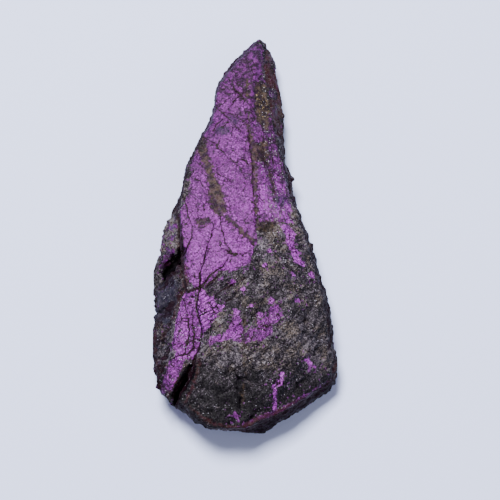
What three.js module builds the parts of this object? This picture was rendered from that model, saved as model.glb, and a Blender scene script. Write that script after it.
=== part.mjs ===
// A cleaved flake of purpurite, a violet iron and manganese phosphate, lying flat on a table.
//
// The stone is one closed solid. It starts as a finely divided box, and every vertex of the box is moved
// onto the stone: the top follows a net of break lines that run from the tip to the broken end, the sides
// drop from the rim and tuck under, and the underside is a hollowed break with one flat spot that the
// stone rests on.
//
// Millimetres. +Z is up, +Y runs along the stone towards its tip, and z = 0 is the table. The origin is on
// the table, under the middle of the stone.

import * as THREE from "three";
import { mergeVertices } from "three/addons/utils/BufferGeometryUtils.js";
import { ImprovedNoise } from "three/addons/math/ImprovedNoise.js";

// Division of the box: columns across the stone are set by STRIPS below, rows run along it, levels go down
// its sides.
const ROWS = 54;
const END_ROWS = 3; // the last rows lie on the broken end's own face
const LEVELS = 6;

// Height of the stone's crest above the table, as [y, z] from the tip to the broken end.
const CREST = [[21.3, 3.4], [19.0, 4.4], [15.6, 5.2], [10.7, 6.0], [5.8, 6.7], [1.0, 7.3], [-3.0, 7.8],
  [-8.0, 8.2], [-13.0, 8.0], [-18.0, 7.0], [-21.6, 6.1]];

// Outline of the stone seen from above, as [x, y] from the tip down each side.
const LEFT_OUTLINE = [[0.9, 21.4], [-0.2, 20.1], [-1.5, 18.8], [-2.3, 17.7], [-3.0, 16.5], [-3.4, 15.3],
  [-3.6, 13.1], [-3.9, 12.0], [-4.5, 10.9], [-5.7, 8.6], [-6.6, 6.4], [-6.9, 4.2], [-7.4, 3.0],
  [-8.4, 0.8], [-8.9, -0.6], [-9.2, -2.2], [-9.6, -4.2], [-9.9, -5.8], [-9.6, -9.6], [-9.9, -11.2],
  [-9.8, -13.2], [-9.6, -15.4], [-9.3, -16.9], [-9.0, -17.5]];
const RIGHT_OUTLINE = [[1.9, 21.4], [2.6, 20.1], [3.1, 18.8], [3.3, 16.7], [3.8, 14.4], [3.9, 12.0],
  [4.0, 9.0], [4.2, 7.1], [4.8, 6.1], [4.8, 4.4], [5.2, 3.1], [5.8, 1.0], [6.7, -1.2], [7.1, -2.3],
  [7.5, -4.4], [8.3, -6.7], [8.8, -8.9], [9.1, -11.0], [9.1, -12.1], [9.5, -14.2], [9.6, -15.3],
  [9.3, -16.1]];

// Break lines on the top, as [x, y] from the tip to the rim of the broken end.
const FLANK_LINE = [[1.15, 21.3], [0.3, 20.0], [-0.9, 18.5], [-1.9, 17.3], [-2.8, 15.9], [-3.2, 14.4],
  [-3.2, 12.9], [-3.6, 11.4], [-4.5, 9.8], [-5.5, 7.8], [-6.2, 6.1], [-6.5, 4.3], [-6.8, 2.7],
  [-7.3, 1.2], [-7.2, -0.3], [-7.2, -2.0], [-7.1, -3.3], [-6.9, -4.8], [-6.7, -6.1], [-6.5, -7.5],
  [-7.0, -8.8], [-7.4, -9.8], [-7.6, -11.6], [-7.9, -13.3], [-8.2, -14.9], [-8.8, -16.2], [-8.8, -17.9]];
const MAIN_CRACK = [[1.25, 21.3], [0.7, 19.0], [-0.1, 17.3], [-0.8, 15.6], [-1.7, 13.5], [-2.8, 11.1],
  [-4.0, 8.5], [-4.8, 5.8], [-4.2, 4.6], [-3.7, 2.1], [-3.5, -0.2], [-3.9, -1.2], [-4.8, -4.2],
  [-5.1, -5.6], [-5.2, -7.5], [-5.4, -9.4], [-4.8, -12.1], [-5.1, -13.4], [-5.7, -15.0], [-6.5, -16.5],
  [-7.1, -17.7], [-7.6, -18.9]];
const PLATEAU_LINE = [[1.35, 21.3], [0.8, 18.7], [0.1, 16.7], [-0.9, 14.1], [-1.4, 11.5], [-1.8, 8.6],
  [-2.2, 6.3], [-1.8, 4.1], [-1.4, 1.8], [-1.2, -0.3], [-1.4, -2.6], [-2.0, -5.3], [-2.6, -8.5],
  [-2.8, -11.7], [-3.0, -14.8], [-3.4, -17.8], [-4.0, -21.4]];
const SEAM = [[1.45, 21.3], [1.0, 18.7], [0.5, 16.3], [-0.1, 13.3], [0.0, 10.7], [0.3, 8.2], [0.5, 5.8],
  [0.5, 3.4], [0.6, 1.6], [0.8, -0.3], [0.7, -3.1], [0.1, -5.8], [-0.5, -8.5], [-0.6, -14.8],
  [-0.5, -21.6]];
const GLITTER_LINE = [[1.55, 21.3], [1.5, 18.9], [1.2, 16.7], [1.1, 14.6], [1.3, 12.0], [1.6, 10.0],
  [1.9, 8.2], [2.1, 6.5], [2.2, 4.8], [2.5, 3.1], [2.9, 1.2], [3.4, -1.3], [3.8, -4.1], [4.2, -6.8],
  [4.5, -9.4], [4.7, -12.0], [4.9, -14.6], [4.7, -16.7], [4.2, -19.3]];
const RIGHT_SHOULDER = [[1.7, 21.3], [1.9, 19.4], [2.0, 17.1], [2.2, 14.7], [2.7, 12.1], [2.9, 10.5],
  [3.4, 8.8], [3.5, 7.4], [3.8, 5.8], [4.1, 4.2], [4.5, 3.0], [5.0, 1.5], [5.7, -0.6], [6.3, -2.6],
  [6.8, -4.2], [7.4, -6.5], [7.9, -8.5], [8.3, -10.4], [8.4, -13.0], [8.6, -14.8], [8.8, -16.2]];

// How far each line lies below the crest, as [y, drop].
const FLANK_DROP = [[21.3, 0.5], [3.0, 0.7], [1.2, 1.9], [-6.5, 2.1], [-8.5, 1.7], [-14.0, 2.1],
  [-17.9, 2.6]];
const FAULT_DROP = [[21.3, 0.5], [3.0, 0.8], [1.2, 3.0], [-6.5, 3.3], [-8.5, 1.9], [-17.9, 2.6]];
const LIP_DROP = [[21.3, 0.4], [3.0, 0.6], [-6.5, 0.8], [-8.5, 1.4], [-14.0, 1.6], [-17.9, 2.2]];
const STRIP_DROP = [[21.3, 0.3], [6.0, 0.35], [-7.0, 0.4], [-10.0, 0.8], [-14.0, 1.1], [-18.7, 1.7]];
const CRACK_DROP = [[21.3, 0.2], [6.0, 0.25], [-8.0, 0.2], [-14.0, 0.2], [-18.7, 1.0]];
const PLATEAU_DROP = [[21.3, 0.1], [10.0, 0.1], [-6.0, 0.0], [-15.0, 0.2], [-21.5, 0.3]];
const SEAM_DROP = [[21.3, 0.0], [-21.5, 0.1]];
const GLITTER_DROP = [[21.3, 0.2], [12.0, 0.5], [5.0, 0.6], [-3.0, 0.7], [-12.0, 0.6], [-19.3, 1.3]];
const SHOULDER_DROP = [[21.3, 0.4], [15.0, 1.0], [5.0, 1.4], [0.0, 1.7], [-5.0, 2.2], [-10.0, 2.6],
  [-16.2, 3.3]];

// Height of the rim where the top meets the sides, as [y, z].
const LEFT_RIM = [[21.3, 2.6], [16.0, 3.1], [10.0, 3.6], [4.7, 3.7], [1.5, 3.2], [-2.0, 2.8], [-8.0, 2.6],
  [-15.0, 2.9], [-17.7, 3.7]];
const RIGHT_RIM = [[21.3, 2.6], [12.0, 3.1], [5.0, 3.4], [-2.0, 3.7], [-10.0, 3.5], [-15.9, 3.0]];

// Foot of the broken end's face, as [x, y, z] from its left corner to its right one.
const END_FOOT = [[-9.0, -17.6, 3.2], [-7.6, -18.8, 3.6], [-7.0, -19.4, 3.7], [-4.9, -20.8, 3.6],
  [-3.8, -21.2, 3.4], [-2.1, -21.4, 3.2], [-0.6, -21.4, 2.6], [1.3, -21.6, 1.7], [2.1, -21.3, 1.5],
  [3.9, -20.0, 1.4], [6.8, -18.2, 1.4], [8.4, -17.1, 1.6], [9.3, -16.3, 2.2]];

// The crack through the violet face opens into a black cleft towards the broken end. Its depth is given as
// [y, depth] and its half width as [y, half width].
const CRACK_DEPTH = [[7.0, 0.0], [4.0, 0.12], [0.5, 0.3], [-6.0, 0.55], [-13.0, 0.7], [-14.8, 0.9],
  [-15.6, 2.4], [-18.7, 3.0]];
const CRACK_HALF_WIDTH = [[21.3, 0.02], [5.0, 0.1], [-14.2, 0.16], [-15.6, 0.38], [-18.7, 0.5]];
const SEAM_DEPTH = [[16.0, 0.0], [13.0, 0.18], [-1.0, 0.2], [-4.0, 0.05], [-21.5, 0.05]];
const SEAM_HALF_WIDTH = 0.14;
const FAULT_HALF_WIDTH = 0.16;
const TAPER = 9; // the cracks narrow to nothing over this length at the tip

// Rough grey matrix covers the lower right of the top, below this edge, as [x, y].
const MATRIX_EDGE = [[-6.0, -8.5], [-5.2, -7.4], [-2.3, -4.7], [-0.2, -4.0], [0.8, -2.2], [1.4, -0.4],
  [2.4, 0.4], [5.8, -0.6], [9.5, -2.0]];
const GRAIN_ANGLE = 0.66; // radians from +X, the way the matrix's ridges run
const MATRIX_RELIEF = 0.5;
const FACE_RELIEF = 0.07;
const FLANK_ROUGH_Y = -6.2; // the left flank is rough from here to the broken end

// Ledges on the matrix and the left flank, grooves that each run from one point to another,
// as [x0, y0, x1, y1, depth].
const LEDGES = [[-5.0, -7.3, -2.1, -4.6, 0.35], [-4.2, -8.1, -2.8, -7.0, 0.45],
  [-2.8, -8.0, -1.6, -6.9, 0.4], [-2.5, -9.2, -1.2, -8.0, 0.4], [-1.0, -7.8, 1.4, -5.4, 0.25],
  [2.0, -12.2, 4.6, -10.6, 0.25], [1.6, -17.2, 4.4, -15.4, 0.35], [-9.4, -9.2, -7.6, -8.0, 0.6],
  [-9.5, -12.0, -8.0, -10.4, 0.6], [-9.3, -14.8, -8.3, -13.2, 0.5]];
const LEDGE_HALF_WIDTH = 0.42;

// Pits, as [x, y, radius, depth].
const PITS = [[1.9, 20.2, 0.3, 0.5], [-1.6, -15.8, 0.8, 0.6], [-0.5, -17.0, 0.8, 0.5],
  [-0.7, -18.6, 0.7, 0.6], [0.2, -20.3, 0.7, 0.7], [5.0, -17.0, 0.8, 0.5], [6.1, -10.6, 0.9, 0.4],
  [3.3, -8.1, 0.6, 0.4], [-3.2, -12.6, 0.6, 0.3], [7.0, -13.4, 0.7, 0.3]];

// The deep recess in the left flank, a hollow along one line, as [x0, y0, x1, y1].
const RECESS = [-7.4, -3.5, -9.1, -5.8];
const RECESS_RADIUS = 1.0;
const RECESS_DEPTH = 1.9;

// Sides, broken end and underside.
const SIDE_RELIEF = 0.9; // how far the facets of the sides stand in and out
const SIDE_FACET = 2.1;
const END_RELIEF = 0.55;
const END_FACET = 1.9;
const UNDER_WIDTH = 0.8; // width of the underside as a share of the outline's
const UNDER_LENGTH = 0.94;
const UNDER_RISE = 1.7; // the underside climbs this far from the flat spot to the tip and the broken end
const UNDER_RELIEF = 0.5;
const UNDER_FACET = 3.6;
const UNDER_CHIP = 1.7;
const REST_SPOT = { x: -0.7, y: -5.0, across: 4.4, along: 7.2 }; // flat ellipse under the stone's weight

const STONE_COLOUR = 0x6a4f74;

const noise = new ImprovedNoise();
const { lerp, clamp, smoothstep, seededRandom } = THREE.MathUtils;

// Value of a list of [from, to] pairs at a given place, with straight lines between the pairs.
function follow(pairs, place) {
  const rising = pairs[0][0] < pairs[pairs.length - 1][0];
  const list = rising ? pairs : [...pairs].reverse();
  const last = list.length - 1;
  if (place <= list[0][0]) return list[0][1];
  for (let k = 0; k < last; k++) {
    const [a, b] = [list[k], list[k + 1]];
    if (place <= b[0]) return lerp(a[1], b[1], (place - a[0]) / (b[0] - a[0]));
  }
  return list[last][1];
}

// x of a break line at a given y.
const lineX = (line, y) => follow(line.map(([px, py]) => [py, px]), y);

// Smooth relief from three octaves of noise, about -1 to 1. Each octave is half as large and half as
// strong.
function rough(x, y, z, size) {
  let sum = 0;
  for (let octave = 0; octave < 3; octave++) {
    const step = 2 ** octave / size;
    sum += noise.noise(x * step + 31 * octave, y * step + 7.3, z * step + 3.1) / 2 ** octave;
  }
  return sum;
}

// Random value from -1 to 1 for each corner of a unit grid.
function cornerValue(i, j, k) {
  return 2 * seededRandom(1 + Math.abs((i * 73856093) ^ (j * 19349663) ^ (k * 83492791))) - 1;
}

const FACET_TURN = new THREE.Euler(0.5, 0.35, 0.75); // keeps the creases off the stone's own directions

// Relief of nearly flat facets that meet at creases, -1 to 1: random heights on a grid, joined by straight
// lines.
function facets(x, y, z, size) {
  const place = new THREE.Vector3(x, y, z).applyEuler(FACET_TURN).divideScalar(size);
  const cell = place.clone().floor();
  const part = place.clone().sub(cell);
  let sum = 0;
  for (const i of [0, 1]) {
    for (const j of [0, 1]) {
      for (const k of [0, 1]) {
        const share = (i ? part.x : 1 - part.x) * (j ? part.y : 1 - part.y) * (k ? part.z : 1 - part.z);
        sum += share * cornerValue(cell.x + i, cell.y + j, cell.z + k);
      }
    }
  }
  return sum;
}

// Distance from a plan point to a segment.
function segmentDistance(x, y, x0, y0, x1, y1) {
  const [dx, dy] = [x1 - x0, y1 - y0];
  const t = clamp(((x - x0) * dx + (y - y0) * dy) / (dx * dx + dy * dy), 0, 1);
  return Math.hypot(x - x0 - t * dx, y - y0 - t * dy);
}

// One column of the top: a line from the tip, an offset from it in mm, and its height.
const column = (line, offset, height) => ({ line, offset, height });

const below = (drop) => (y) => follow(CREST, y) - follow(drop, y);
const crackHalf = (y) => follow(CRACK_HALF_WIDTH, y);
const crackFloor = (y) => below(CRACK_DROP)(y) - follow(CRACK_DEPTH, y);
const seamFloor = (y) => below(SEAM_DROP)(y) - follow(SEAM_DEPTH, y);

// The top's strips from left to right: each is divided into this many columns, and ends at this column.
const FIRST_COLUMN = column(LEFT_OUTLINE, () => 0, (y) => follow(LEFT_RIM, y));
const STRIPS = [
  [4, column(FLANK_LINE, () => -FAULT_HALF_WIDTH, below(FLANK_DROP))],
  [1, column(FLANK_LINE, () => 0, below(FAULT_DROP))],
  [1, column(FLANK_LINE, () => FAULT_HALF_WIDTH, below(LIP_DROP))],
  [4, column(MAIN_CRACK, (y) => -crackHalf(y), below(STRIP_DROP))],
  [1, column(MAIN_CRACK, (y) => -0.45 * crackHalf(y), crackFloor)],
  [1, column(MAIN_CRACK, (y) => 0.45 * crackHalf(y), crackFloor)],
  [1, column(MAIN_CRACK, (y) => crackHalf(y), below(CRACK_DROP))],
  [4, column(PLATEAU_LINE, () => 0, below(PLATEAU_DROP))],
  [4, column(SEAM, () => -SEAM_HALF_WIDTH, below(SEAM_DROP))],
  [1, column(SEAM, () => 0, seamFloor)],
  [1, column(SEAM, () => SEAM_HALF_WIDTH, below(SEAM_DROP))],
  [5, column(GLITTER_LINE, () => 0, below(GLITTER_DROP))],
  [5, column(RIGHT_SHOULDER, () => 0, below(SHOULDER_DROP))],
  [2, column(RIGHT_OUTLINE, () => 0, (y) => follow(RIGHT_RIM, y))],
];
const COLUMNS = STRIPS.reduce((sum, [count]) => sum + count, 0);

// Point of a column at a share of the way from the tip to the rim of the broken end.
// The offset shrinks towards the tip, where the lines meet.
function columnPoint({ line, offset, height }, share) {
  const y = lerp(line[0][1], line[line.length - 1][1], share);
  const taper = clamp((line[0][1] - y) / TAPER, 0.03, 1);
  return new THREE.Vector3(lineX(line, y) + offset(y) * taper, y, height(y));
}

// One row of the smooth top, a point for each column.
function smoothRow(share) {
  const points = [columnPoint(FIRST_COLUMN, share)];
  for (const [count, end] of STRIPS) {
    const start = points[points.length - 1];
    const goal = columnPoint(end, share);
    for (let k = 1; k <= count; k++) points.push(new THREE.Vector3().lerpVectors(start, goal, k / count));
  }
  return points;
}

// 1 on the rough matrix and 0 on the smooth violet face. The lower part of the left flank is rough too.
function matrixShare(x, y) {
  const matrix = smoothstep(follow(MATRIX_EDGE, x) - y, -0.1, 0.7) * smoothstep(x, -6.4, -5.4);
  const flank = smoothstep(lineX(FLANK_LINE, y) - x, 0.1, 0.5) * smoothstep(FLANK_ROUGH_Y - y, 0, 2);
  return Math.max(matrix, 0.8 * flank);
}

// Relief of the top: faceted ridges on the matrix, a nearly smooth cleavage face, ledges, pits and the
// recess.
function topRelief(x, y) {
  const along = x * Math.cos(GRAIN_ANGLE) + y * Math.sin(GRAIN_ANGLE);
  const across = -x * Math.sin(GRAIN_ANGLE) + y * Math.cos(GRAIN_ANGLE);
  const grain = facets(along * 0.4, across, 0, 0.75) + 0.6 * facets(x, y, 4, 2.6);
  let z = lerp(FACE_RELIEF * rough(x, y, 5.5, 1.8), MATRIX_RELIEF * grain, matrixShare(x, y));
  for (const [x0, y0, x1, y1, depth] of LEDGES) {
    z -= depth * Math.max(0, 1 - segmentDistance(x, y, x0, y0, x1, y1) / LEDGE_HALF_WIDTH);
  }
  for (const [px, py, radius, depth] of PITS) {
    z -= depth * (1 - smoothstep(Math.hypot(x - px, y - py) / radius, 0.2, 1));
  }
  const recessNear = segmentDistance(x, y, ...RECESS) / RECESS_RADIUS;
  return z - RECESS_DEPTH * (1 - smoothstep(recessNear, 0.45, 1.05));
}

// Point of the broken end's face below a rim point, at a share of the way down to the foot.
function endPoint(rim, down) {
  const footY = follow(END_FOOT.map(([x, y]) => [x, y]), rim.x);
  const footZ = Math.min(follow(END_FOOT.map(([x, , z]) => [x, z]), rim.x), rim.z - 0.3);
  const p = rim.clone().lerp(new THREE.Vector3(rim.x, footY, footZ), down);
  p.y += END_RELIEF * facets(p.x, p.y, p.z, END_FACET) * Math.sin(Math.PI * down);
  return p;
}

// Point of the top for a column and row. The relief fades out at the outline itself.
function topPoint(col, row) {
  const mainRows = ROWS - END_ROWS;
  const p = smoothRow(Math.min(row / mainRows, 1))[col];
  const inside = Math.min(col, COLUMNS - col, row) / 2;
  p.z += topRelief(p.x, p.y) * clamp(inside, 0, 1);
  return row > mainRows ? endPoint(p, (row - mainRows) / END_ROWS) : p;
}

// Point of the underside below a point of the top.
function underPoint(top) {
  const spineX = lineX(SEAM, top.y) * 0.5 + lineX(MAIN_CRACK, top.y) * 0.25;
  const x = spineX + (top.x - spineX) * UNDER_WIDTH;
  const y = top.y * UNDER_LENGTH;
  const ragged = 1 + 0.25 * facets(x, y, 20, REST_SPOT.across);
  const offSpot = Math.hypot((x - REST_SPOT.x) / REST_SPOT.across, (y - REST_SPOT.y) / REST_SPOT.along);
  const reach = ragged * offSpot; // 1 on the flat spot's edge
  const rise = 0.3 + UNDER_RISE * smoothstep(reach, 0.9, 3.6);
  const chips = facets(x, y, 9, UNDER_FACET) + 0.4 * facets(x, y, 5, UNDER_CHIP);
  const broken = Math.max(rise + UNDER_RELIEF * chips, 0.08);
  return new THREE.Vector3(x, y, broken * smoothstep(reach, 0.9, 1.2));
}

// Point of the side between a rim point and the underside, at a share of the way down. Facets push it in
// and out, mostly in, so that the rim stays the widest part.
function sidePoint(rim, under, down) {
  const tuck = down ** 1.7;
  const p = new THREE.Vector3().lerpVectors(rim, under, tuck);
  p.z = lerp(rim.z, under.z, down);
  const out = new THREE.Vector3(rim.x - under.x, rim.y - under.y, 0).normalize();
  const push = SIDE_RELIEF * (facets(p.x, p.y, p.z * 1.5, SIDE_FACET) - 0.25) * Math.sin(Math.PI * down);
  return p.addScaledVector(out, push);
}

// Moves each vertex of a divided box onto the stone.
function stoneGeometry() {
  const box = new THREE.BoxGeometry(COLUMNS, ROWS, LEVELS, COLUMNS, ROWS, LEVELS);
  const position = box.getAttribute("position");
  for (let k = 0; k < position.count; k++) {
    const col = Math.round(position.getX(k) + COLUMNS / 2);
    const row = Math.round(ROWS / 2 - position.getY(k));
    const down = Math.round(LEVELS / 2 - position.getZ(k)) / LEVELS;
    const top = topPoint(col, row);
    const p = down === 0 ? top : sidePoint(top, underPoint(top), down);
    position.setXYZ(k, p.x, p.y, p.z);
  }
  box.deleteAttribute("normal");
  box.deleteAttribute("uv");
  const closed = mergeVertices(box, 1e-4);
  closed.computeBoundingBox();
  const middle = closed.boundingBox.getCenter(new THREE.Vector3());
  closed.translate(-middle.x, -middle.y, 0);
  closed.computeVertexNormals();
  return closed;
}

const stoneMaterial = new THREE.MeshStandardMaterial({
  color: STONE_COLOUR,
  roughness: 0.6,
  metalness: 0.1,
  flatShading: true,
});
const stone = new THREE.Mesh(stoneGeometry(), stoneMaterial);
stone.name = "purpurite";

const specimen = new THREE.Group();
specimen.add(stone);

export default specimen;
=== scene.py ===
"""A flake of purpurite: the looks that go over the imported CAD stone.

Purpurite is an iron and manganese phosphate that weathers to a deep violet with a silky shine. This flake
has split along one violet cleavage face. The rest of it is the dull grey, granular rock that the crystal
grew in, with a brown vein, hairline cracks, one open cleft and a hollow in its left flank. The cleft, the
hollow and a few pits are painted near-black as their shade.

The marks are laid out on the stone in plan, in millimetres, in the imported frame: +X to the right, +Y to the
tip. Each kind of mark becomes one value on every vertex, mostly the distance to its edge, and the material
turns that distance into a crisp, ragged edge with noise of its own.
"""

from __future__ import annotations

import logging
import math
from dataclasses import dataclass
from enum import Enum

import bmesh
import bpy
import numpy as np
from mathutils import Matrix, Vector

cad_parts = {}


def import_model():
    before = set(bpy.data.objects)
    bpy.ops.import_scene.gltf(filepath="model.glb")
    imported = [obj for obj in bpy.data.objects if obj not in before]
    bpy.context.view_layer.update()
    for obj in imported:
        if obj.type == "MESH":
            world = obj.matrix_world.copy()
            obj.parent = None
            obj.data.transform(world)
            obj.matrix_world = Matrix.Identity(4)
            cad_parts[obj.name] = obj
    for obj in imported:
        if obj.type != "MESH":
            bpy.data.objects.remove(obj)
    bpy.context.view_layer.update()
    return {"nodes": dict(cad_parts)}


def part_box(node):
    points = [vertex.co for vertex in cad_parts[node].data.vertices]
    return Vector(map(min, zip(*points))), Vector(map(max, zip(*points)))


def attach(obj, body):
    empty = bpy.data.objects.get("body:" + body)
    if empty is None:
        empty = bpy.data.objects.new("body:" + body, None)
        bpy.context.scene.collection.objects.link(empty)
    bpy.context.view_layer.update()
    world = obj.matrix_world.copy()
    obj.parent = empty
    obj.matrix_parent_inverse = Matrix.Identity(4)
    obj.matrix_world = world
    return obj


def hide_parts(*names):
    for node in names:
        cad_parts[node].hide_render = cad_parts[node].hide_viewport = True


LOG = logging.getLogger("purpurite")
MM = 0.001
# Farther than any two places on the stone, in millimetres.
FAR = 99.0
# The rock's grains and the ridges of the striped patch run this far left of +X.
BREAK_TURN = math.radians(38)
# Distance from one ridge of the striped patch to the next, in millimetres.
RIDGE_SPACING = 0.5
# Each finer copy of a noise is moved on by this many of its cells, so that no two copies line up.
OCTAVE_SHIFT = 17.3
# Large odd numbers, as hash functions use them: they give neighbouring places unlike values.
AXIS_PRIMES = (73856093, 19349663, 83492791)
SEED_PRIME = 2654435761
FIRST_MIX = 0x9E3779B1
SECOND_MIX = 0x85EBCA6B
# The lowest 32 bits of a number, and half of the largest number that they hold.
LOW_32_BITS = 0xFFFFFFFF
HALF_RANGE = 0x7FFFFFFF

Point = tuple[float, float]
# A place on a drawn line: x, y and the line's half width there.
Station = tuple[float, float, float]


class Mark(Enum):
    """The values that each vertex of the stone carries for its material."""

    # Distances inside the edge of an area, in millimetres.
    VIOLET = "violet"
    BROWN = "brown"
    SLATE = "slate"
    OCHRE = "ochre"
    RUST = "rust"
    # Where shade is painted black: the hollow, the cleft and the pits, which are also carved deeper.
    SHADED_HOLLOW = "shaded_hollow"
    STRIPED = "striped"
    # Distance from the nearest crack, in millimetres.
    CRACK = "crack"
    # Brightness of the violet and of the rock.
    TONE = "violet_tone"
    ROCK_TONE = "rock_tone"
    # Shares from 0 to 1: streaks and painted glints, wear, painted shade on the steep rim, and crazing with
    # fine cracks.
    GLITTER = "glitter"
    WORN = "worn"
    SHADED_RIM = "shaded_rim"
    CRAZED = "crazed"


def hex_to_linear(code: str) -> tuple[float, float, float, float]:
    """Turn an sRGB hex colour into the linear colour that a shader takes.

    Args:
        code: six hex digits, with or without a leading hash.

    Returns:
        Linear red, green, blue and an alpha of 1.
    """
    digits = code.lstrip("#")
    values = [int(digits[k : k + 2], 16) / 255 for k in (0, 2, 4)]
    # The curve of the sRGB standard, which is straight in the darkest part.
    linear = [v / 12.92 if v <= 0.04045 else ((v + 0.055) / 1.055) ** 2.4 for v in values]
    return (*linear, 1.0)


def smoothstep(low: float, high: float, value: np.ndarray) -> np.ndarray:
    """Rise smoothly from 0 at low to 1 at high.

    Args:
        low: value where the result is 0.
        high: value where the result is 1, which may be the lower of the two.
        value: the values to turn.

    Returns:
        An array from 0 to 1.
    """
    t = np.clip((value - low) / (high - low), 0, 1)
    return t * t * (3 - 2 * t)


def between(stops: tuple[Point, ...], place: np.ndarray) -> np.ndarray:
    """Read values off straight lines drawn between stops.

    Args:
        stops: each stop's place and its value, from the lowest place up.
        place: the places to read at.

    Returns:
        The values there, and the end stops' values beyond them.
    """
    places, values = zip(*stops)
    return np.interp(place, places, values)


def lattice(cell: np.ndarray, seed: int) -> np.ndarray:
    """Give every corner of a unit grid its own random value.

    Args:
        cell: whole-number corners, one row of three each.
        seed: picks one of many independent sets of values.

    Returns:
        Values from -1 to 1, the same on every run.
    """
    x, y, z = (cell[:, axis].astype(np.int64) * prime for axis, prime in enumerate(AXIS_PRIMES))
    mixed = x ^ y ^ z ^ (seed * SEED_PRIME)
    mixed = (mixed & LOW_32_BITS) * FIRST_MIX & LOW_32_BITS
    mixed = (mixed ^ (mixed >> 15)) * SECOND_MIX & LOW_32_BITS
    return (mixed ^ (mixed >> 13)) / HALF_RANGE - 1.0


def smooth_noise(points: np.ndarray, size: float, seed: int, octaves: int = 1) -> np.ndarray:
    """Smooth random relief, with finer and weaker copies of itself on top.

    Args:
        points: places in millimetres, one row of three each.
        size: width of the largest lumps in millimetres.
        seed: picks the pattern.
        octaves: how many copies, each half as wide and half as strong as the one before.

    Returns:
        Values from about -1 to 1.
    """
    total = np.zeros(len(points))
    for octave in range(octaves):
        place = points * (2**octave / size) + OCTAVE_SHIFT * octave
        cell = np.floor(place)
        part = place - cell
        ease = part * part * (3 - 2 * part)
        value = np.zeros(len(points))
        for corner in np.ndindex(2, 2, 2):
            share = np.prod(np.where(np.array(corner) == 1, ease, 1 - ease), axis=1)
            value += share * lattice(cell + corner, seed + octave)
        total += value / 2**octave
    return total


def grains(points: np.ndarray, size: float, seed: int) -> tuple[np.ndarray, np.ndarray]:
    """Split space into irregular grains.

    Args:
        points: places in millimetres, one row of three each.
        size: mean width of a grain in millimetres.
        seed: picks the pattern.

    Returns:
        The distance to the grain's border as a share of its size, 0 on the border, and a random value from
        -1 to 1 that is the same all over one grain.
    """
    # Each cell holds one grain's centre, which is moved by up to 0.45 of the cell along each axis.
    place = points / size
    cell = np.floor(place)
    nearest = np.full(len(points), FAR)
    second = np.full(len(points), FAR)
    tag = np.zeros(len(points))
    for step in np.ndindex(3, 3, 3):
        corner = cell + np.array(step) - 1
        jitter = np.stack([lattice(corner, seed + axis) for axis in range(3)], axis=1)
        gap = np.linalg.norm(corner + 0.5 + 0.45 * jitter - place, axis=1)
        closer = gap < nearest
        second = np.where(closer, nearest, np.minimum(second, gap))
        # The tag's seed is well away from the three that the jitter takes.
        tag = np.where(closer, lattice(corner, seed + 7), tag)
        nearest = np.where(closer, gap, nearest)
    return second - nearest, tag


def segment_distance(plan: np.ndarray, start: Point, end: Point) -> tuple[np.ndarray, np.ndarray]:
    """Measure how far plan points are from a straight segment.

    Args:
        plan: x and y in millimetres, one row each.
        start: one end of the segment.
        end: the other end.

    Returns:
        The distances in millimetres, and how far along the segment the nearest point is, from 0 to 1.
    """
    origin = np.array(start)
    along = np.array(end) - origin
    share = np.clip((plan - origin) @ along / (along @ along), 0, 1)
    return np.linalg.norm(plan - origin - share[:, None] * along, axis=1), share


@dataclass(frozen=True)
class Patch:
    """An area of one mark on the stone's upper side.

    Args:
        mark: the kind of mark.
        outline: its corners in plan, in millimetres.
        tone: how bright the violet is in it, from 0 to 1, where it is violet.
    """

    mark: Mark
    outline: tuple[Point, ...]
    tone: float = 0.8

    def depth(self, plan: np.ndarray) -> np.ndarray:
        """Measure how far plan points are inside the patch.

        Args:
            plan: x and y in millimetres, one row each.

        Returns:
            Distances in millimetres from the outline, above 0 inside it.
        """
        x, y = plan[:, 0], plan[:, 1]
        inside = np.zeros(len(plan), bool)
        edge = np.full(len(plan), FAR)
        for k, (x1, y1) in enumerate(self.outline):
            x0, y0 = self.outline[k - 1]
            crosses = (y0 > y) != (y1 > y)
            if y1 != y0:
                inside ^= crosses & (x < x0 + (y - y0) * (x1 - x0) / (y1 - y0))
            edge = np.minimum(edge, segment_distance(plan, (x0, y0), (x1, y1))[0])
        return np.where(inside, edge, -edge)


@dataclass(frozen=True)
class Streak:
    """A line of one mark on the stone's upper side, or a single spot where it has one station.

    Args:
        mark: the kind of mark.
        path: the stations that it runs through in plan, in millimetres. A half width of 0 or less leaves no
            more than a faint trace.
        tone: how bright the violet is in it, from 0 to 1, where it is violet.
    """

    mark: Mark
    path: tuple[Station, ...]
    tone: float = 0.8

    def depth(self, plan: np.ndarray) -> np.ndarray:
        """Measure how far plan points are inside the streak.

        Args:
            plan: x and y in millimetres, one row each.

        Returns:
            Distances in millimetres from its edge, above 0 inside it.
        """
        x, y, radius = self.path[0]
        if len(self.path) == 1:
            return radius - np.linalg.norm(plan - np.array((x, y)), axis=1)
        outside = np.full(len(plan), FAR)
        for (x0, y0, half0), (x1, y1, half1) in zip(self.path, self.path[1:]):
            gap, share = segment_distance(plan, (x0, y0), (x1, y1))
            outside = np.minimum(outside, gap - (half0 + (half1 - half0) * share))
        return -outside


def lines(mark: Mark, *paths: tuple[Station, ...]) -> tuple[Streak, ...]:
    """Streaks of one mark, one for each path."""
    return tuple(Streak(mark, path) for path in paths)


def spots(mark: Mark, radius: float, *places: Point) -> tuple[Streak, ...]:
    """Round spots of one mark and radius, at plan points in millimetres."""
    return tuple(Streak(mark, ((*place, radius),)) for place in places)


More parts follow.
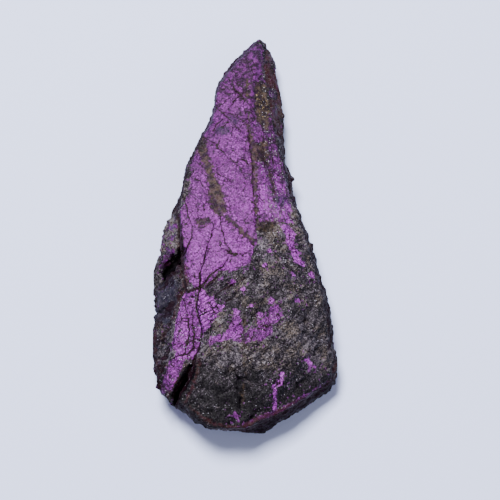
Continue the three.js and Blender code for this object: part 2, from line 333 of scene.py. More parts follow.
# The violet face that the flake split along, from the tip down its left side and back.
CLEAVAGE_FACE = Patch(
    Mark.VIOLET,
    (
        (1.0, 21.3), (-0.2, 20.0), (-2.2, 17.4), (-3.1, 15.7), (-3.4, 12.9), (-4.5, 9.9), (-5.2, 8.3),
        (-5.8, 6.9), (-6.0, 4.3), (-6.3, 2.9), (-7.0, 1.0), (-6.8, -2.8), (-6.3, -5.8), (-5.2, -7.3),
        (-4.3, -6.7), (-3.6, -6.2), (-2.9, -5.4), (-1.2, -5.4), (0.4, -4.3), (0.5, -3.1), (1.0, -2.1),
        (1.0, -0.6), (2.4, 0.1), (4.8, 0.3), (4.5, 4.1), (3.9, 6.5), (3.3, 9.2), (2.5, 12.4), (1.9, 15.4),
        (1.7, 18.5), (1.9, 20.3),
    ),
)  # fmt: skip

# The other violet shapes. Where two overlap, the later one gives the tone.
OTHER_VIOLET = (
    # The strip that runs down to the cleft.
    Patch(
        Mark.VIOLET,
        (
            (-6.4, -7.4), (-6.9, -8.4), (-7.3, -9.6), (-7.5, -11.3), (-7.7, -12.6), (-7.4, -14.0),
            (-8.1, -14.7), (-8.0, -15.5), (-8.9, -16.2), (-9.1, -17.0), (-8.7, -17.8), (-7.8, -17.7),
            (-7.2, -16.4), (-6.4, -14.4), (-5.4, -14.4), (-4.8, -13.2), (-4.7, -12.2), (-5.1, -10.6),
            (-5.4, -8.8), (-5.3, -7.2),
        ),
        0.62,
    ),
    # The striped patch right of it.
    Patch(
        Mark.VIOLET,
        (
            (-5.3, -6.8), (-4.9, -6.8), (-4.4, -7.8), (-3.5, -7.9), (-3.3, -8.7), (-2.3, -9.2),
            (-3.0, -9.8), (-3.9, -11.0), (-4.5, -11.9), (-4.9, -11.3), (-5.2, -9.4), (-5.2, -8.2),
        ),
        0.82,
    ),
    # The two arms of the forked patch, the left one first.
    Patch(
        Mark.VIOLET,
        (
            (-1.4, -9.5), (-0.8, -9.6), (-0.7, -10.7), (-0.3, -11.6), (-0.3, -12.6), (-1.6, -12.5),
            (-2.9, -12.8), (-4.1, -13.1), (-3.7, -12.2), (-2.2, -11.9), (-1.8, -11.1),
        ),
        0.64,
    ),
    Patch(
        Mark.VIOLET,
        (
            (-1.8, -12.5), (-0.5, -12.0), (0.2, -11.5), (0.8, -11.5), (1.2, -10.8), (2.2, -9.9),
            (2.2, -9.3), (3.4, -8.5), (3.2, -9.3), (3.7, -10.0), (2.6, -11.0), (2.5, -11.8), (1.6, -12.6),
            (-0.3, -13.0),
        ),
        0.46,
    ),
    # The tongue in the rock at the upper right.
    Streak(
        Mark.VIOLET,
        (
            (4.0, -0.4, 0.45), (4.7, -1.1, 0.45), (4.4, -1.7, 0.35), (5.1, -3.2, 0.42), (5.2, -3.9, 0.3),
            (5.9, -4.2, 0.25),
        ),
    ),
    # The thread and the edge at the lower right.
    Streak(
        Mark.VIOLET,
        (
            (3.6, -15.9, 0.2), (3.6, -16.7, 0.22), (2.9, -17.3, 0.22), (2.9, -19.3, 0.2),
        ),
        0.85,
    ),
    Streak(
        Mark.VIOLET,
        (
            (-0.2, -21.0, 0.1), (1.6, -20.3, 0.2), (4.3, -19.1, 0.15), (6.8, -17.6, 0.15),
            (8.6, -16.2, 0.0),
        ),
        0.3,
    ),
    # Two crossed threads near the right corner, and a tongue by the lower end.
    Streak(Mark.VIOLET, ((6.1, -14.2, 0.1), (6.6, -14.6, 0.2), (7.2, -14.9, 0.08))),
    Streak(Mark.VIOLET, ((6.4, -13.8, 0.04), (6.6, -14.6, 0.16), (6.5, -15.1, 0.06))),
    Streak(Mark.VIOLET, ((-1.3, -19.9, 0.12), (-1.1, -20.3, 0.26), (-0.9, -20.7, 0.16)), 0.5),
    # Spots in the rock, and a dark one in the ochre.
    *spots(Mark.VIOLET, 0.3, (1.3, -10.0), (2.5, -8.4), (6.8, -5.3)),
    *spots(Mark.VIOLET, 0.25, (5.2, -8.2), (1.8, -4.6), (-1.5, -6.5)),
    *spots(Mark.VIOLET, 0.22, (-0.4, -7.3)),
    *spots(Mark.VIOLET, 0.2, (0.4, -9.1), (2.3, -3.0), (4.8, -5.4), (-2.7, -6.1)),
    Streak(Mark.VIOLET, ((2.8, 15.1, 0.45),), 0.4),
)  # fmt: skip

STAINS = (
    # The vein and the short stain left of its end.
    Patch(
        Mark.BROWN,
        (
            (-5.2, 10.3), (-4.3, 9.2), (-3.9, 7.4), (-3.6, 5.9), (-3.0, 4.6), (-2.5, 3.3), (-2.0, 1.4),
            (-3.0, 0.6), (-3.8, 1.6), (-4.0, 3.4), (-4.2, 4.8), (-4.5, 6.0), (-4.8, 7.4), (-5.5, 8.8),
        ),
    ),
    Patch(Mark.BROWN, ((-5.5, 0.4), (-3.9, 0.6), (-3.7, -0.2), (-4.6, -0.4), (-5.4, -0.3))),
    # Brown ground right of the seam.
    Patch(Mark.BROWN, ((0.9, 0.1), (2.4, 0.4), (3.4, 0.1), (2.3, -0.9), (1.0, -0.9))),
    Patch(Mark.BROWN, ((0.6, 8.9), (1.8, 9.2), (2.4, 8.0), (2.2, 7.1), (1.1, 6.6), (0.6, 7.2))),
    Patch(
        Mark.BROWN,
        (
            (0.8, 15.6), (1.5, 16.4), (2.3, 15.6), (2.6, 12.2), (2.2, 10.6), (1.3, 11.3), (0.8, 12.4),
        ),
    ),
    # The vein's thin end, a line down the rock, and lines along the seam.
    *lines(
        Mark.BROWN,
        ((-2.8, 0.8, 0.3), (-1.4, -0.1, 0.25), (-0.3, -1.3, 0.3), (0.7, -2.0, 0.2)),
        ((-0.3, -8.0, 0.0), (-0.4, -12.0, 0.15), (-0.2, -15.0, 0.0), (-0.4, -19.0, 0.12)),
        (
            (0.2, 12.2, 0.05), (0.5, 9.4, 0.24), (0.8, 6.6, 0.26), (0.9, 3.6, 0.2), (0.9, 1.5, 0.2),
            (1.1, -0.2, 0.24),
        ),
        ((0.2, 16.2, 0.1), (0.1, 15.0, 0.25), (0.1, 14.2, 0.1)),
        ((2.0, 9.4, 0.12), (2.2, 6.8, 0.12), (2.7, 4.4, 0.16), (2.9, 2.2, 0.12)),
    ),
    # Slate-blue films, the third in the left flank.
    Patch(Mark.SLATE, ((3.0, 3.2), (4.4, 3.4), (4.5, 2.3), (3.4, 2.1), (2.9, 2.5))),
    Patch(Mark.SLATE, ((-3.3, 10.9), (-1.9, 10.8), (-1.7, 10.0), (-2.6, 9.8), (-3.3, 10.1))),
    Patch(
        Mark.SLATE,
        (
            (-9.3, -5.6), (-7.9, -5.2), (-7.0, -6.2), (-7.4, -8.6), (-7.9, -10.4), (-9.4, -9.8),
        ),
    ),
    Patch(Mark.SLATE, ((-2.0, 12.2), (-0.9, 11.7), (-1.0, 11.0), (-1.8, 11.4))),
    # The ochre crust near the tip, and the striped patch.
    Patch(
        Mark.OCHRE,
        (
            (1.0, 14.7), (1.6, 15.2), (2.3, 14.1), (2.5, 12.6), (1.9, 11.7), (1.3, 12.2), (0.9, 13.6),
        ),
    ),
    Patch(
        Mark.STRIPED,
        (
            (-4.9, -7.3), (-3.6, -6.3), (-1.6, -5.9), (-1.9, -8.0), (-2.9, -9.8), (-4.4, -12.2),
            (-5.3, -10.4), (-5.2, -8.3),
        ),
    ),
)  # fmt: skip

CRACKS = lines(
    Mark.CRACK,
    # The open ones left of the cleavage face, and the long one from its middle to the cleft.
    (
        (-7.3, 1.9, 0.04), (-7.1, 1.0, 0.08), (-7.0, -0.7, 0.1), (-6.9, -2.5, 0.12), (-6.7, -4.5, 0.1),
        (-6.3, -6.7, 0.08), (-6.1, -7.5, 0.1), (-5.1, -7.1, 0.06),
    ),
    (
        (-6.6, 3.1, -0.02), (-6.4, 1.7, 0.01), (-5.7, -0.8, 0.02), (-5.8, -1.5, 0.03), (-6.5, -3.1, 0.03),
        (-6.8, -3.6, 0.02),
    ),
    (
        (-3.3, 0.2, -0.02), (-3.6, -1.0, 0.0), (-4.3, -3.3, 0.02), (-4.9, -5.4, 0.03), (-5.0, -6.9, 0.08),
        (-5.1, -8.2, 0.03), (-5.2, -9.3, 0.0), (-4.8, -11.3, 0.0), (-4.7, -12.5, 0.02),
        (-5.1, -13.9, 0.05), (-5.6, -15.0, 0.15),
    ),
    # Along the seam and right of it.
    (
        (0.1, 12.6, -0.06), (0.2, 10.8, -0.03), (0.3, 9.0, 0.0), (0.6, 6.6, 0.0), (0.7, 3.6, -0.02),
        (0.8, 1.5, -0.02), (1.0, -0.2, -0.04),
    ),
    ((1.6, 11.4, -0.05), (1.8, 8.4, 0.0), (2.0, 4.5, -0.05)),
    ((2.5, 9.6, -0.05), (2.8, 7.0, 0.0), (3.1, 4.4, -0.05)),
    # Branches across the upper face.
    (
        (-4.6, 9.8, 0.0), (-3.5, 9.0, 0.01), (-2.2, 7.4, 0.0), (-0.9, 6.4, 0.0), (-0.1, 5.0, 0.0),
        (0.4, 4.7, -0.03),
    ),
    ((-3.2, 13.4, 0.0), (-2.7, 12.6, 0.02), (-1.5, 12.2, 0.0), (-0.1, 11.2, -0.02)),
    ((-2.7, 12.6, 0.02), (-1.8, 11.6, 0.01), (-0.3, 10.1, -0.02)),
    ((-1.2, 10.8, 0.0), (-0.6, 10.3, 0.01), (-0.1, 10.0, 0.0)),
    ((-2.5, 11.7, 0.01), (-3.2, 11.1, 0.01), (-3.6, 10.4, 0.0)),
    ((0.4, 15.4, -0.02), (-0.6, 14.4, 0.0), (-1.4, 13.7, 0.02), (-1.9, 12.8, -0.02)),
    ((-1.1, 15.2, -0.02), (-0.3, 14.3, 0.02), (0.6, 13.1, -0.02)),
    ((-1.5, 15.7, 0.0), (-1.0, 14.8, 0.02), (-0.5, 14.3, 0.02), (-0.1, 13.7, 0.0)),
    # Short ones in the middle of the face.
    ((-3.4, 5.7, 0.0), (-2.8, 5.4, 0.02), (-2.3, 5.0, 0.02), (-1.6, 4.4, 0.0)),
    ((-0.9, 7.1, 0.0), (-0.1, 6.9, 0.03), (0.2, 6.4, -0.02)),
    ((-6.1, 5.3, 0.0), (-5.0, 4.6, 0.02), (-4.6, 3.8, 0.0)),
    ((-2.9, 9.4, 0.0), (-3.2, 8.7, 0.02), (-3.1, 8.3, 0.0)),
    # The forked one at the face's lower end.
    ((-2.7, 0.6, 0.0), (-2.6, -0.8, 0.01), (-2.3, -2.3, 0.02), (-1.5, -3.4, 0.03), (-0.2, -3.8, 0.01)),
    ((-2.9, -2.8, 0.0), (-2.0, -3.2, 0.03), (-1.3, -3.7, 0.03), (0.0, -3.3, 0.0)),
    ((-2.0, -3.9, 0.0), (-2.6, -4.7, 0.02), (-4.0, -6.0, 0.04), (-4.9, -7.0, 0.06)),
    # In the strip above the cleft.
    ((-6.4, -8.4, -0.02), (-6.0, -11.2, 0.02), (-6.1, -12.9, 0.02), (-7.0, -15.2, -0.02)),
    ((-7.5, -13.4, -0.02), (-6.2, -12.8, 0.01), (-5.0, -12.2, -0.02)),
    ((-7.2, -10.4, -0.03), (-6.2, -10.6, 0.01), (-5.3, -11.3, -0.03)),
    ((-6.6, -9.0, -0.03), (-5.9, -8.6, 0.01), (-5.3, -9.0, -0.03)),
    ((-7.9, -14.6, -0.03), (-7.0, -14.0, 0.01), (-6.0, -13.9, 0.01), (-5.3, -13.2, -0.03)),
    ((-5.7, -9.4, -0.02), (-5.5, -11.8, 0.02), (-5.6, -13.4, 0.01), (-6.2, -14.6, -0.03)),
    # Furrows in the rock below the face.
    ((-4.4, -7.0, 0.0), (-3.5, -6.3, 0.07), (-2.5, -5.4, -0.02)),
    ((-3.4, -7.9, -0.03), (-2.2, -7.1, 0.07), (-1.1, -6.5, -0.03)),
    ((-2.3, -8.7, 0.02), (-1.1, -8.1, -0.03)),
    ((-1.0, -6.8, -0.03), (-0.3, -6.1, 0.03), (0.3, -5.4, -0.03)),
)  # fmt: skip

HOLLOWS = (
    # The hollow in the left flank, then the cleft, both painted black as their shade.
    Patch(
        Mark.SHADED_HOLLOW,
        (
            (-6.7, -2.2), (-7.4, -3.0), (-8.1, -3.7), (-8.8, -4.6), (-8.7, -5.5), (-7.9, -5.2),
            (-7.2, -4.6), (-6.8, -3.9),
        ),
    ),
    Patch(
        Mark.SHADED_HOLLOW,
        (
            (-6.0, -14.7), (-7.0, -16.4), (-8.05, -18.2), (-7.0, -18.9), (-6.2, -17.5), (-5.5, -16.4),
            (-5.1, -15.1),
        ),
    ),
    # A furrow in the rock, and pits, painted dark as their shade.
    Streak(Mark.SHADED_HOLLOW, ((-1.3, -15.6, 0.0), (-0.9, -16.4, 0.1), (-1.1, -17.4, 0.0), (-0.6, -19.4, 0.1))),
    *spots(Mark.SHADED_HOLLOW, 0.2, (-1.3, -15.7), (-0.6, -18.5)),
    *spots(Mark.SHADED_HOLLOW, 0.15, (2.0, 20.5), (0.4, -20.3), (5.3, -16.7), (6.4, -10.1)),
    *spots(Mark.SHADED_HOLLOW, 0.12, (-0.2, -16.4)),
)  # fmt: skip

RUSTY_EDGES = lines(
    Mark.RUST,
    # Along the lower right edge.
    (
        (-0.3, -21.3, 0.25), (1.6, -20.4, 0.28), (4.3, -19.3, 0.25), (6.8, -17.8, 0.2),
        (9.1, -16.1, 0.15), (9.5, -14.2, 0.1),
    ),
    # Left of the cleavage face.
    ((-7.1, 1.0, 0.1), (-6.9, -2.5, 0.2), (-6.5, -5.5, 0.25), (-6.3, -7.2, 0.2)),
    # Both sides of the cleft.
    ((-4.9, -14.6, 0.1), (-5.2, -16.2, 0.18), (-5.9, -18.0, 0.12), (-6.6, -19.2, 0.05)),
    ((-5.8, -14.3, 0.05), (-6.5, -15.2, 0.05), (-7.3, -16.7, 0.03), (-8.2, -18.2, 0.0)),
    # Below the hollow, along the lower end and the lower left edge.
    ((-6.3, -6.8, 0.1), (-7.0, -7.8, 0.2), (-7.4, -9.4, 0.15), (-7.6, -10.6, 0.0)),
    ((-5.8, -19.3, 0.0), (-4.3, -20.6, 0.12), (-2.2, -21.3, 0.15), (-0.3, -21.5, 0.3)),
    ((-9.5, -11.0, 0.1), (-9.4, -13.5, 0.15), (-8.9, -16.0, 0.1)),
    # Along the left edge of the tip.
    (
        (0.8, 21.4, 0.1), (-0.4, 20.2, 0.12), (-2.3, 17.4, 0.15), (-3.3, 15.4, 0.12), (-3.5, 13.0, 0.12),
        (-4.9, 9.8, 0.15), (-6.2, 7.0, 0.12), (-6.9, 3.6, 0.12),
    ),
)  # fmt: skip

# Every drawn shape that isn't violet.
STAINED = (*STAINS, *CRACKS, *HOLLOWS, *RUSTY_EDGES)

# The seam that splits the violet along the stone, from its lower end up: y, and x there.
SEAM = ((-0.2, 1.0), (3.5, 0.7), (10.8, 0.2), (16.4, 0.7), (21.4, 1.6))
# The edge right of the lower ledge in the left flank, in the same way.
LEDGE_EDGE = ((-17.0, -8.6), (-9.0, -6.9), (-7.0, -6.3), (-3.0, -6.9), (1.2, -7.2), (2.4, -9.9))
# How bright the cleavage face is along the stone: y, and the tone there.
FACE_TONES = ((0.0, 0.58), (5.0, 0.5), (10.0, 0.39), (17.0, 0.4), (21.0, 0.32))
# The same for the rock.
ROCK_TONES = ((-20.5, -0.34), (-17.5, -0.22), (-13.5, 0.48), (-9.0, 0.26), (-3.0, 0.34), (1.0, 0.52))
# A mark's depth where none of its shapes is near, and the largest depth that a vertex carries.
OUTSIDE = -3.0
DEEPEST = 2.0


class StoneMarks:
    """Works out every mark's value at the stone's vertices."""

    def __init__(self, points: np.ndarray, normals: np.ndarray) -> None:
        """Keep the places to mark, and tell the upper side from the rest.

        Args:
            points: vertices in millimetres, one row of three each.
            normals: their outward directions.
        """
        self.points = points
        self.plan = points[:, :2]
        self.x = points[:, 0]
        self.y = points[:, 1]
        self.upward = normals[:, 2]
        self.top = smoothstep(-0.2, 0.25, self.upward)
        self.side = 1 - self.top
        self.ledge = smoothstep(0.05, 0.3, between(LEDGE_EDGE, self.y) - self.x) * self.top
        self.values: dict[Mark, np.ndarray] = {}

    def crazed_plan(self) -> np.ndarray:
        """Shift the plan by up to about 0.2 mm, so that straight strokes on it become crooked cracks.

        Returns:
            x and y in millimetres, one row each.
        """
        wander = []
        for axis in (0, 1):
            bends = 0.13 * smooth_noise(self.points, 0.9, 51 + axis, 2)
            wander.append(bends + 0.06 * smooth_noise(self.points, 0.3, 57 + axis))
        return self.plan + np.stack(wander, axis=1)

    def deepest(self, mark: Mark) -> np.ndarray:
        """Measure how far the vertices are inside a mark's shapes.

        Args:
            mark: the kind of mark.

        Returns:
            Distances in millimetres from the nearest edge, above 0 inside.
        """
        plan = self.crazed_plan() if mark is Mark.CRACK else self.plan
        depth = np.full(len(plan), OUTSIDE)
        for shape in STAINED:
            if shape.mark is mark:
                depth = np.maximum(depth, shape.depth(plan))
        return depth

    def on_slope(
        self, depth: np.ndarray, slope: np.ndarray, reach: float, wander: float, size: float, seed: int
    ) -> np.ndarray:
        """Add random patches of a mark on the slope right of the violet.

        Args:
            depth: the mark's depth without them.
            slope: share of each vertex that is on the slope.
            reach: how much of the slope they cover: all of it well above 3, none of it well below.
            wander: how far their edges wander, in millimetres.
            size: width of the patches in millimetres.
            seed: picks the pattern.

        Returns:
            The depth with them.
        """
        patches = reach + wander * smooth_noise(self.points, size, seed, 2)
        return np.maximum(depth, OUTSIDE + slope * patches)

    def upper_violet(self) -> tuple[np.ndarray, np.ndarray, np.ndarray]:
        """Lay out the violet of the upper side.

        Returns:
            Its depth, its tone, and the share of it that is crazed.
        """
        x, y = self.x, self.y
        violet = CLEAVAGE_FACE.depth(self.plan)
        tone = between(FACE_TONES, y)
        # The face is darker along its left edge, above the hollow.
        tone = tone - 0.12 * smoothstep(-2.5, -4.5, x + 0.25 * (y - 3)) * smoothstep(0.0, 3.0, y)
        crazed = 0.15 * smoothstep(-3.0, -6.0, y)
        for shape in OTHER_VIOLET:
            depth = shape.depth(self.plan)
            crazed = np.maximum(crazed, smoothstep(-0.2, 0.2, depth))
            tone = np.where(depth > np.maximum(violet, -0.2), shape.tone, tone)
            violet = np.maximum(violet, depth)
        # The strip darkens towards its lower end.
        tone = tone - 0.15 * smoothstep(-15.0, -17.5, y) * smoothstep(-5.0, -6.0, x)
        # On the ledge only dusky spots are violet, fewer and darker beside and below the hollow.
        dusky = -0.08 + 0.75 * smooth_noise(self.points, 0.6, 41, 2) - 0.72 * smoothstep(-2.0, -6.0, y)
        violet = violet * (1 - self.ledge) + dusky * self.ledge
        tone = tone * (1 - 0.7 * smoothstep(-2.0, -4.0, y) * self.ledge)
        return violet, tone, crazed

    def rock_tone(self) -> np.ndarray:
        """Work out the rock's brightness: it is darker at the lower end, to the right and near the tip.

        Returns:
            Its tone on the upper side.
        """
        shade = between(ROCK_TONES, self.y)
        on_ledge = 0.12 - 0.42 * smoothstep(-3.5, -1.5, self.y)
        shade = shade - 0.12 * smoothstep(4.0, 8.0, self.x) - on_ledge * self.ledge
        return shade - 0.55 * smoothstep(2.0, 5.0, self.y)

    def shaded_rim(self) -> np.ndarray:
        """Where shade is painted: 1 on the steep broken edge around the upper side and 0 on flat and
        overhanging parts.
        """
        steep = smoothstep(0.7, 0.4, self.upward) * smoothstep(-0.25, 0.1, self.upward)
        return steep * (1 - 0.75 * self.ledge * smoothstep(-4.0, -2.0, self.y))

    def ridges(self) -> np.ndarray:
        """Waves of parallel ridges, from -1 to 1, that the striped patch is broken into."""
        across = self.plan @ np.array((-math.sin(BREAK_TURN), math.cos(BREAK_TURN)))
        return np.sin(across * 2 * math.pi / RIDGE_SPACING + 2.0 * smooth_noise(self.points, 1.2, 36, 2))

    def hidden_parts(self) -> tuple[np.ndarray, np.ndarray, np.ndarray]:
        """Lay out the patches of the sides and the underside.

        Returns:
            The violet's depth there, its tone, and the brown's depth.
        """
        upper_right = smoothstep(4.0, 9.0, self.y) * smoothstep(0.0, 1.5, self.x)
        violet = 0.9 * smooth_noise(self.points, 5.0, 11, 3) - 0.25 + 0.45 * upper_right
        tone = 0.42 + 0.2 * smooth_noise(self.points, 3.0, 12) - 0.3 * upper_right
        brown = 0.8 * smooth_noise(self.points, 4.0, 23, 2) - 0.45 + 0.5 * smoothstep(3.0, 8.0, self.y)
        return violet, tone, brown

    def wear(
        self, violet: np.ndarray, crazed: np.ndarray, glitter: np.ndarray, near_brown: np.ndarray
    ) -> np.ndarray:
        """Work out how worn the violet is: most at the tip, along its own edges and at the cleft.

        Args:
            violet: its depth.
            crazed: share of it that is crazed, where it wears less.
            glitter: share that is streaked, where it wears more.
            near_brown: share that is near a brown stain, where it wears more.

        Returns:
            Wear from 0 to 1.
        """
        worn = 0.9 * smoothstep(11.0, 17.5, self.y) + 0.45 * glitter
        worn = worn + (0.5 - 0.4 * crazed) * smoothstep(0.9, 0.1, violet)
        worn = worn + 0.5 * self.ledge + 0.5 * near_brown
        worn = worn + 0.5 * smoothstep(-14.0, -16.5, self.y) * smoothstep(-6.0, -7.0, self.x)
        return np.clip(worn, 0, 1) * self.top + 0.5 * self.side

    def work_out(self) -> None:
        """Fill in all the marks."""
        x, y, top, side = self.x, self.y, self.top, self.side
        violet, tone, crazed = self.upper_violet()
        # The slope from the violet to the right rim, beside the tip, is patched with violet, rust and brown.
        slope = smoothstep(0.0, 0.3, -violet) * smoothstep(0.8, 1.8, x) * smoothstep(1.0, 4.0, y) * top
        violet = self.on_slope(violet, slope, reach=3.0, wander=0.5, size=1.4, seed=44)
        tone = tone * (1 - slope) + 0.1 * slope
        rust = self.on_slope(self.deepest(Mark.RUST), slope, reach=3.3, wander=0.6, size=1.0, seed=48)
        brown = self.deepest(Mark.BROWN)
        near_brown = smoothstep(-0.8, 0.0, brown)
        brown = self.on_slope(brown, slope, reach=2.85, wander=0.6, size=1.1, seed=46) * top - 1.5 * side
        hidden_violet, hidden_tone, hidden_brown = self.hidden_parts()
        violet = violet * top + hidden_violet * side
        tone = tone * top + hidden_tone * side
        brown = np.maximum(brown, hidden_brown * side - 2 * top)
        # Right of the seam the violet is streaked, gets painted glints, and is brightest at its lower end.
        glitter = smoothstep(0.2, 1.2, x - between(SEAM, y)) * smoothstep(-1.0, 1.0, y)
        glitter = glitter * (1 - 0.7 * slope * smoothstep(9.0, 12.0, y))
        tone = tone + 0.2 * glitter * (1 - slope) * smoothstep(8.0, 4.0, y)
        for mark in (Mark.SLATE, Mark.OCHRE, Mark.SHADED_HOLLOW, Mark.STRIPED):
            self.values[mark] = np.clip(self.deepest(mark) * top - side, -DEEPEST, DEEPEST)
        for mark, depth in ((Mark.VIOLET, violet), (Mark.BROWN, brown), (Mark.RUST, rust)):
            self.values[mark] = np.clip(depth, -DEEPEST, DEEPEST)
        self.values[Mark.CRACK] = np.clip(-self.deepest(Mark.CRACK) + 2 * side, -1, DEEPEST)
        self.values[Mark.TONE] = tone
        self.values[Mark.ROCK_TONE] = self.rock_tone() * top + 0.2 * side
        self.values[Mark.GLITTER] = glitter * top
        self.values[Mark.WORN] = self.wear(violet, crazed, glitter, near_brown)
        self.values[Mark.SHADED_RIM] = self.shaded_rim()
        self.values[Mark.CRAZED] = crazed


@dataclass
class PurpuriteFlake:
    """The stone: a finer copy of the CAD solid with its small relief, and the marks on its vertices.

    Args:
        node: the CAD node that it stands for.
        voxel: spacing of the finer mesh. This and all the sizes below are in millimetres.
        small_grain: width of the rock's grains across the direction that they are drawn out in.
        large_grain: the same for the lumps that they form.
        grain_relief: height of the rock's grains.
        ledge_relief: how much higher they are on the ledge in the left flank.
        splinter: width of the splinters in the cleavage face.
        face_relief: height of the splinters and waves in the cleavage face.
        ridge_relief: height of the ridges in the striped patch.
        crack_depth: depth of the drawn cracks.
        hollow_depth: depth of the hollow, the cleft and the pits, on top of the solid's own.
        vein_depth: depth of the brown vein and the brown ground.
        swell: how far the whole skin stands out, which makes up for what the finer mesh rounds off.
        nodule_place: where along Y a small lump sticks out of the right edge.
        nodule_height: how far it sticks out.
        rest_height: how high the flat spot that the stone rests on reaches, which is left as it is.
    """

    node: str = "purpurite"
    voxel: float = 0.143
    small_grain: float = 0.5
    large_grain: float = 1.3
    grain_relief: float = 0.115
    ledge_relief: float = 0.12
    splinter: float = 1.5
    face_relief: float = 0.07
    ridge_relief: float = 0.03
    crack_depth: float = 0.07
    hollow_depth: float = 0.3
    vein_depth: float = 0.08
    swell: float = 0.06
    nodule_place: float = 5.85
    nodule_height: float = 0.32
    rest_height: float = 0.02

    def fine_copy(self, source: bpy.types.Object) -> bpy.types.Object:
        """Copy the CAD solid, close its loose triangles and divide it evenly.

        Args:
            source: the CAD node's object.

        Returns:
            A new object, in millimetres.
        """
        shell = bmesh.new()
        shell.from_mesh(source.data)
        # Corners less than 0.0001 mm apart are one corner.
        bmesh.ops.remove_doubles(shell, verts=shell.verts, dist=1e-7)
        bmesh.ops.scale(shell, vec=(1 / MM,) * 3, verts=shell.verts)
        coarse = bpy.data.meshes.new("purpurite_coarse")
        shell.to_mesh(coarse)
        shell.free()
        stone = bpy.data.objects.new("purpurite_flake", coarse)
        bpy.context.scene.collection.objects.link(stone)
        remesh = stone.modifiers.new("even_mesh", "REMESH")
        remesh.mode = "VOXEL"
        remesh.voxel_size = self.voxel
        remesh.use_smooth_shade = True
        graph = bpy.context.evaluated_depsgraph_get()
        fine = bpy.data.meshes.new_from_object(stone.evaluated_get(graph))
        stone.modifiers.clear()
        stone.data = fine
        bpy.data.meshes.remove(coarse)
        return stone

    def rock_relief(self, marks: StoneMarks) -> np.ndarray:
        """Work out the relief of the broken rock: grains, the lumps that they form, and humps lower down.

        Args:
            marks: the stone's marks.

        Returns:
            Heights as shares of the grains' height.
        """
        points = marks.points
        along = points @ np.array((math.cos(BREAK_TURN), math.sin(BREAK_TURN), 0))
        across = points @ np.array((-math.sin(BREAK_TURN), math.cos(BREAK_TURN), 0))
        drawn_out = np.stack([along * 0.6, across, points[:, 2]], axis=1)
        border, tag = grains(drawn_out, self.small_grain, 5)
        lump_border, lump_tag = grains(drawn_out, self.large_grain, 15)
        rock = 0.35 * smoothstep(0.0, 0.3, border) + 0.55 * tag
        rock = rock + 0.4 * lump_tag + 0.3 * smoothstep(0.0, 0.2, lump_border)
        rock += smooth_noise(points, 0.5, 3, 2)
        rock += 0.9 * smooth_noise(points, 1.4, 8, 2) * smoothstep(-10.0, -15.0, marks.y)
        return np.maximum(rock, -0.8)

    def cleavage_relief(self, marks: StoneMarks) -> np.ndarray:
        """Work out the relief of the cleavage face: splinters drawn out along the stone, with fine waves.

        Args:
            marks: the stone's marks.

        Returns:
            Heights as shares of the face's relief.
        """
        drawn_out = np.stack([marks.x, marks.y * 0.35, marks.points[:, 2]], axis=1)
        border, tag = grains(drawn_out, self.splinter, 35)
        return 0.7 * smooth_noise(marks.points, 0.7, 31, 2) + 0.5 * tag + 0.5 * smoothstep(0.0, 0.1, border)

    def nodule(self, points: np.ndarray) -> np.ndarray:
        """Work out the small lump on the right edge.

        Args:
            points: vertices in millimetres, one row of three each.

        Returns:
            Its height in millimetres at each of them.
        """
        near = np.abs(points[:, 1] - self.nodule_place) < self.voxel
        edge = points[near][np.argmax(points[near, 0])]
        gap = np.linalg.norm(points - edge, axis=1)
        return self.nodule_height * (1 - smoothstep(0.1, 0.4, gap))

    def relief(self, marks: StoneMarks) -> np.ndarray:
        """Add up all the small relief.

        Args:
            marks: the stone's marks.

        Returns:
            How far each vertex moves along its normal, in millimetres.
        """
        values = marks.values
        violet = smoothstep(-0.15, 0.15, values[Mark.VIOLET])
        rock = self.rock_relief(marks)
        face = self.cleavage_relief(marks)
        height = self.grain_relief * rock * (1 - violet) + self.face_relief * face * violet
        height -= self.crack_depth * (1 - smoothstep(-0.03, 0.09, values[Mark.CRACK]))
        height -= self.hollow_depth * smoothstep(-0.1, 0.4, values[Mark.SHADED_HOLLOW])
        height -= self.vein_depth * smoothstep(-0.1, 0.2, values[Mark.BROWN])
        height += self.ridge_relief * marks.ridges() * smoothstep(-0.3, 0.3, values[Mark.STRIPED])
        height += self.swell + self.ledge_relief * rock * marks.ledge * (1 - violet)
        return height + self.nodule(marks.points)

    def build(self, source: bpy.types.Object) -> bpy.types.Object:
        """Make the finished stone mesh.

        Args:
            source: the CAD node's object.

        Returns:
            The stone's object, in metres, at the origin.
        """
        stone = self.fine_copy(source)
        mesh = stone.data
        count = len(mesh.vertices)
        points = np.empty(count * 3, np.float32)
        mesh.vertices.foreach_get("co", points)
        points = points.reshape(-1, 3).astype(float)
        normals = np.empty(count * 3, np.float32)
        mesh.vertex_normals.foreach_get("vector", normals)
        normals = normals.reshape(-1, 3).astype(float)
        low, high = (np.array(corner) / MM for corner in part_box(self.node))
        marks = StoneMarks(points, normals)
        marks.work_out()
        resting = points[:, 2] < self.rest_height
        moved = points + normals * np.where(resting, 0, self.relief(marks))[:, None]
        moved = np.clip(moved, low, high)
        mesh.vertices.foreach_set("co", (moved * MM).astype(np.float32).ravel())
        for mark, values in marks.values.items():
            layer = mesh.attributes.new(mark.value, "FLOAT", "POINT")
            layer.data.foreach_set("value", values.astype(np.float32))
        mesh.update()
        return stone


MULTIPLY = {"operation": "MULTIPLY"}
MULTIPLY_ADD = {"operation": "MULTIPLY_ADD"}
SUBTRACT = {"operation": "SUBTRACT"}
LARGER = {"operation": "MAXIMUM"}
SMOOTH_RISE = {"interpolation_type": "SMOOTHSTEP"}
# A Mix node's colour inputs and output go by number, because its other types share their names.
COLOURS = {"data_type": "RGBA"}
UNDER, OVER, MIXED = 6, 7, 2

Socket = bpy.types.NodeSocket


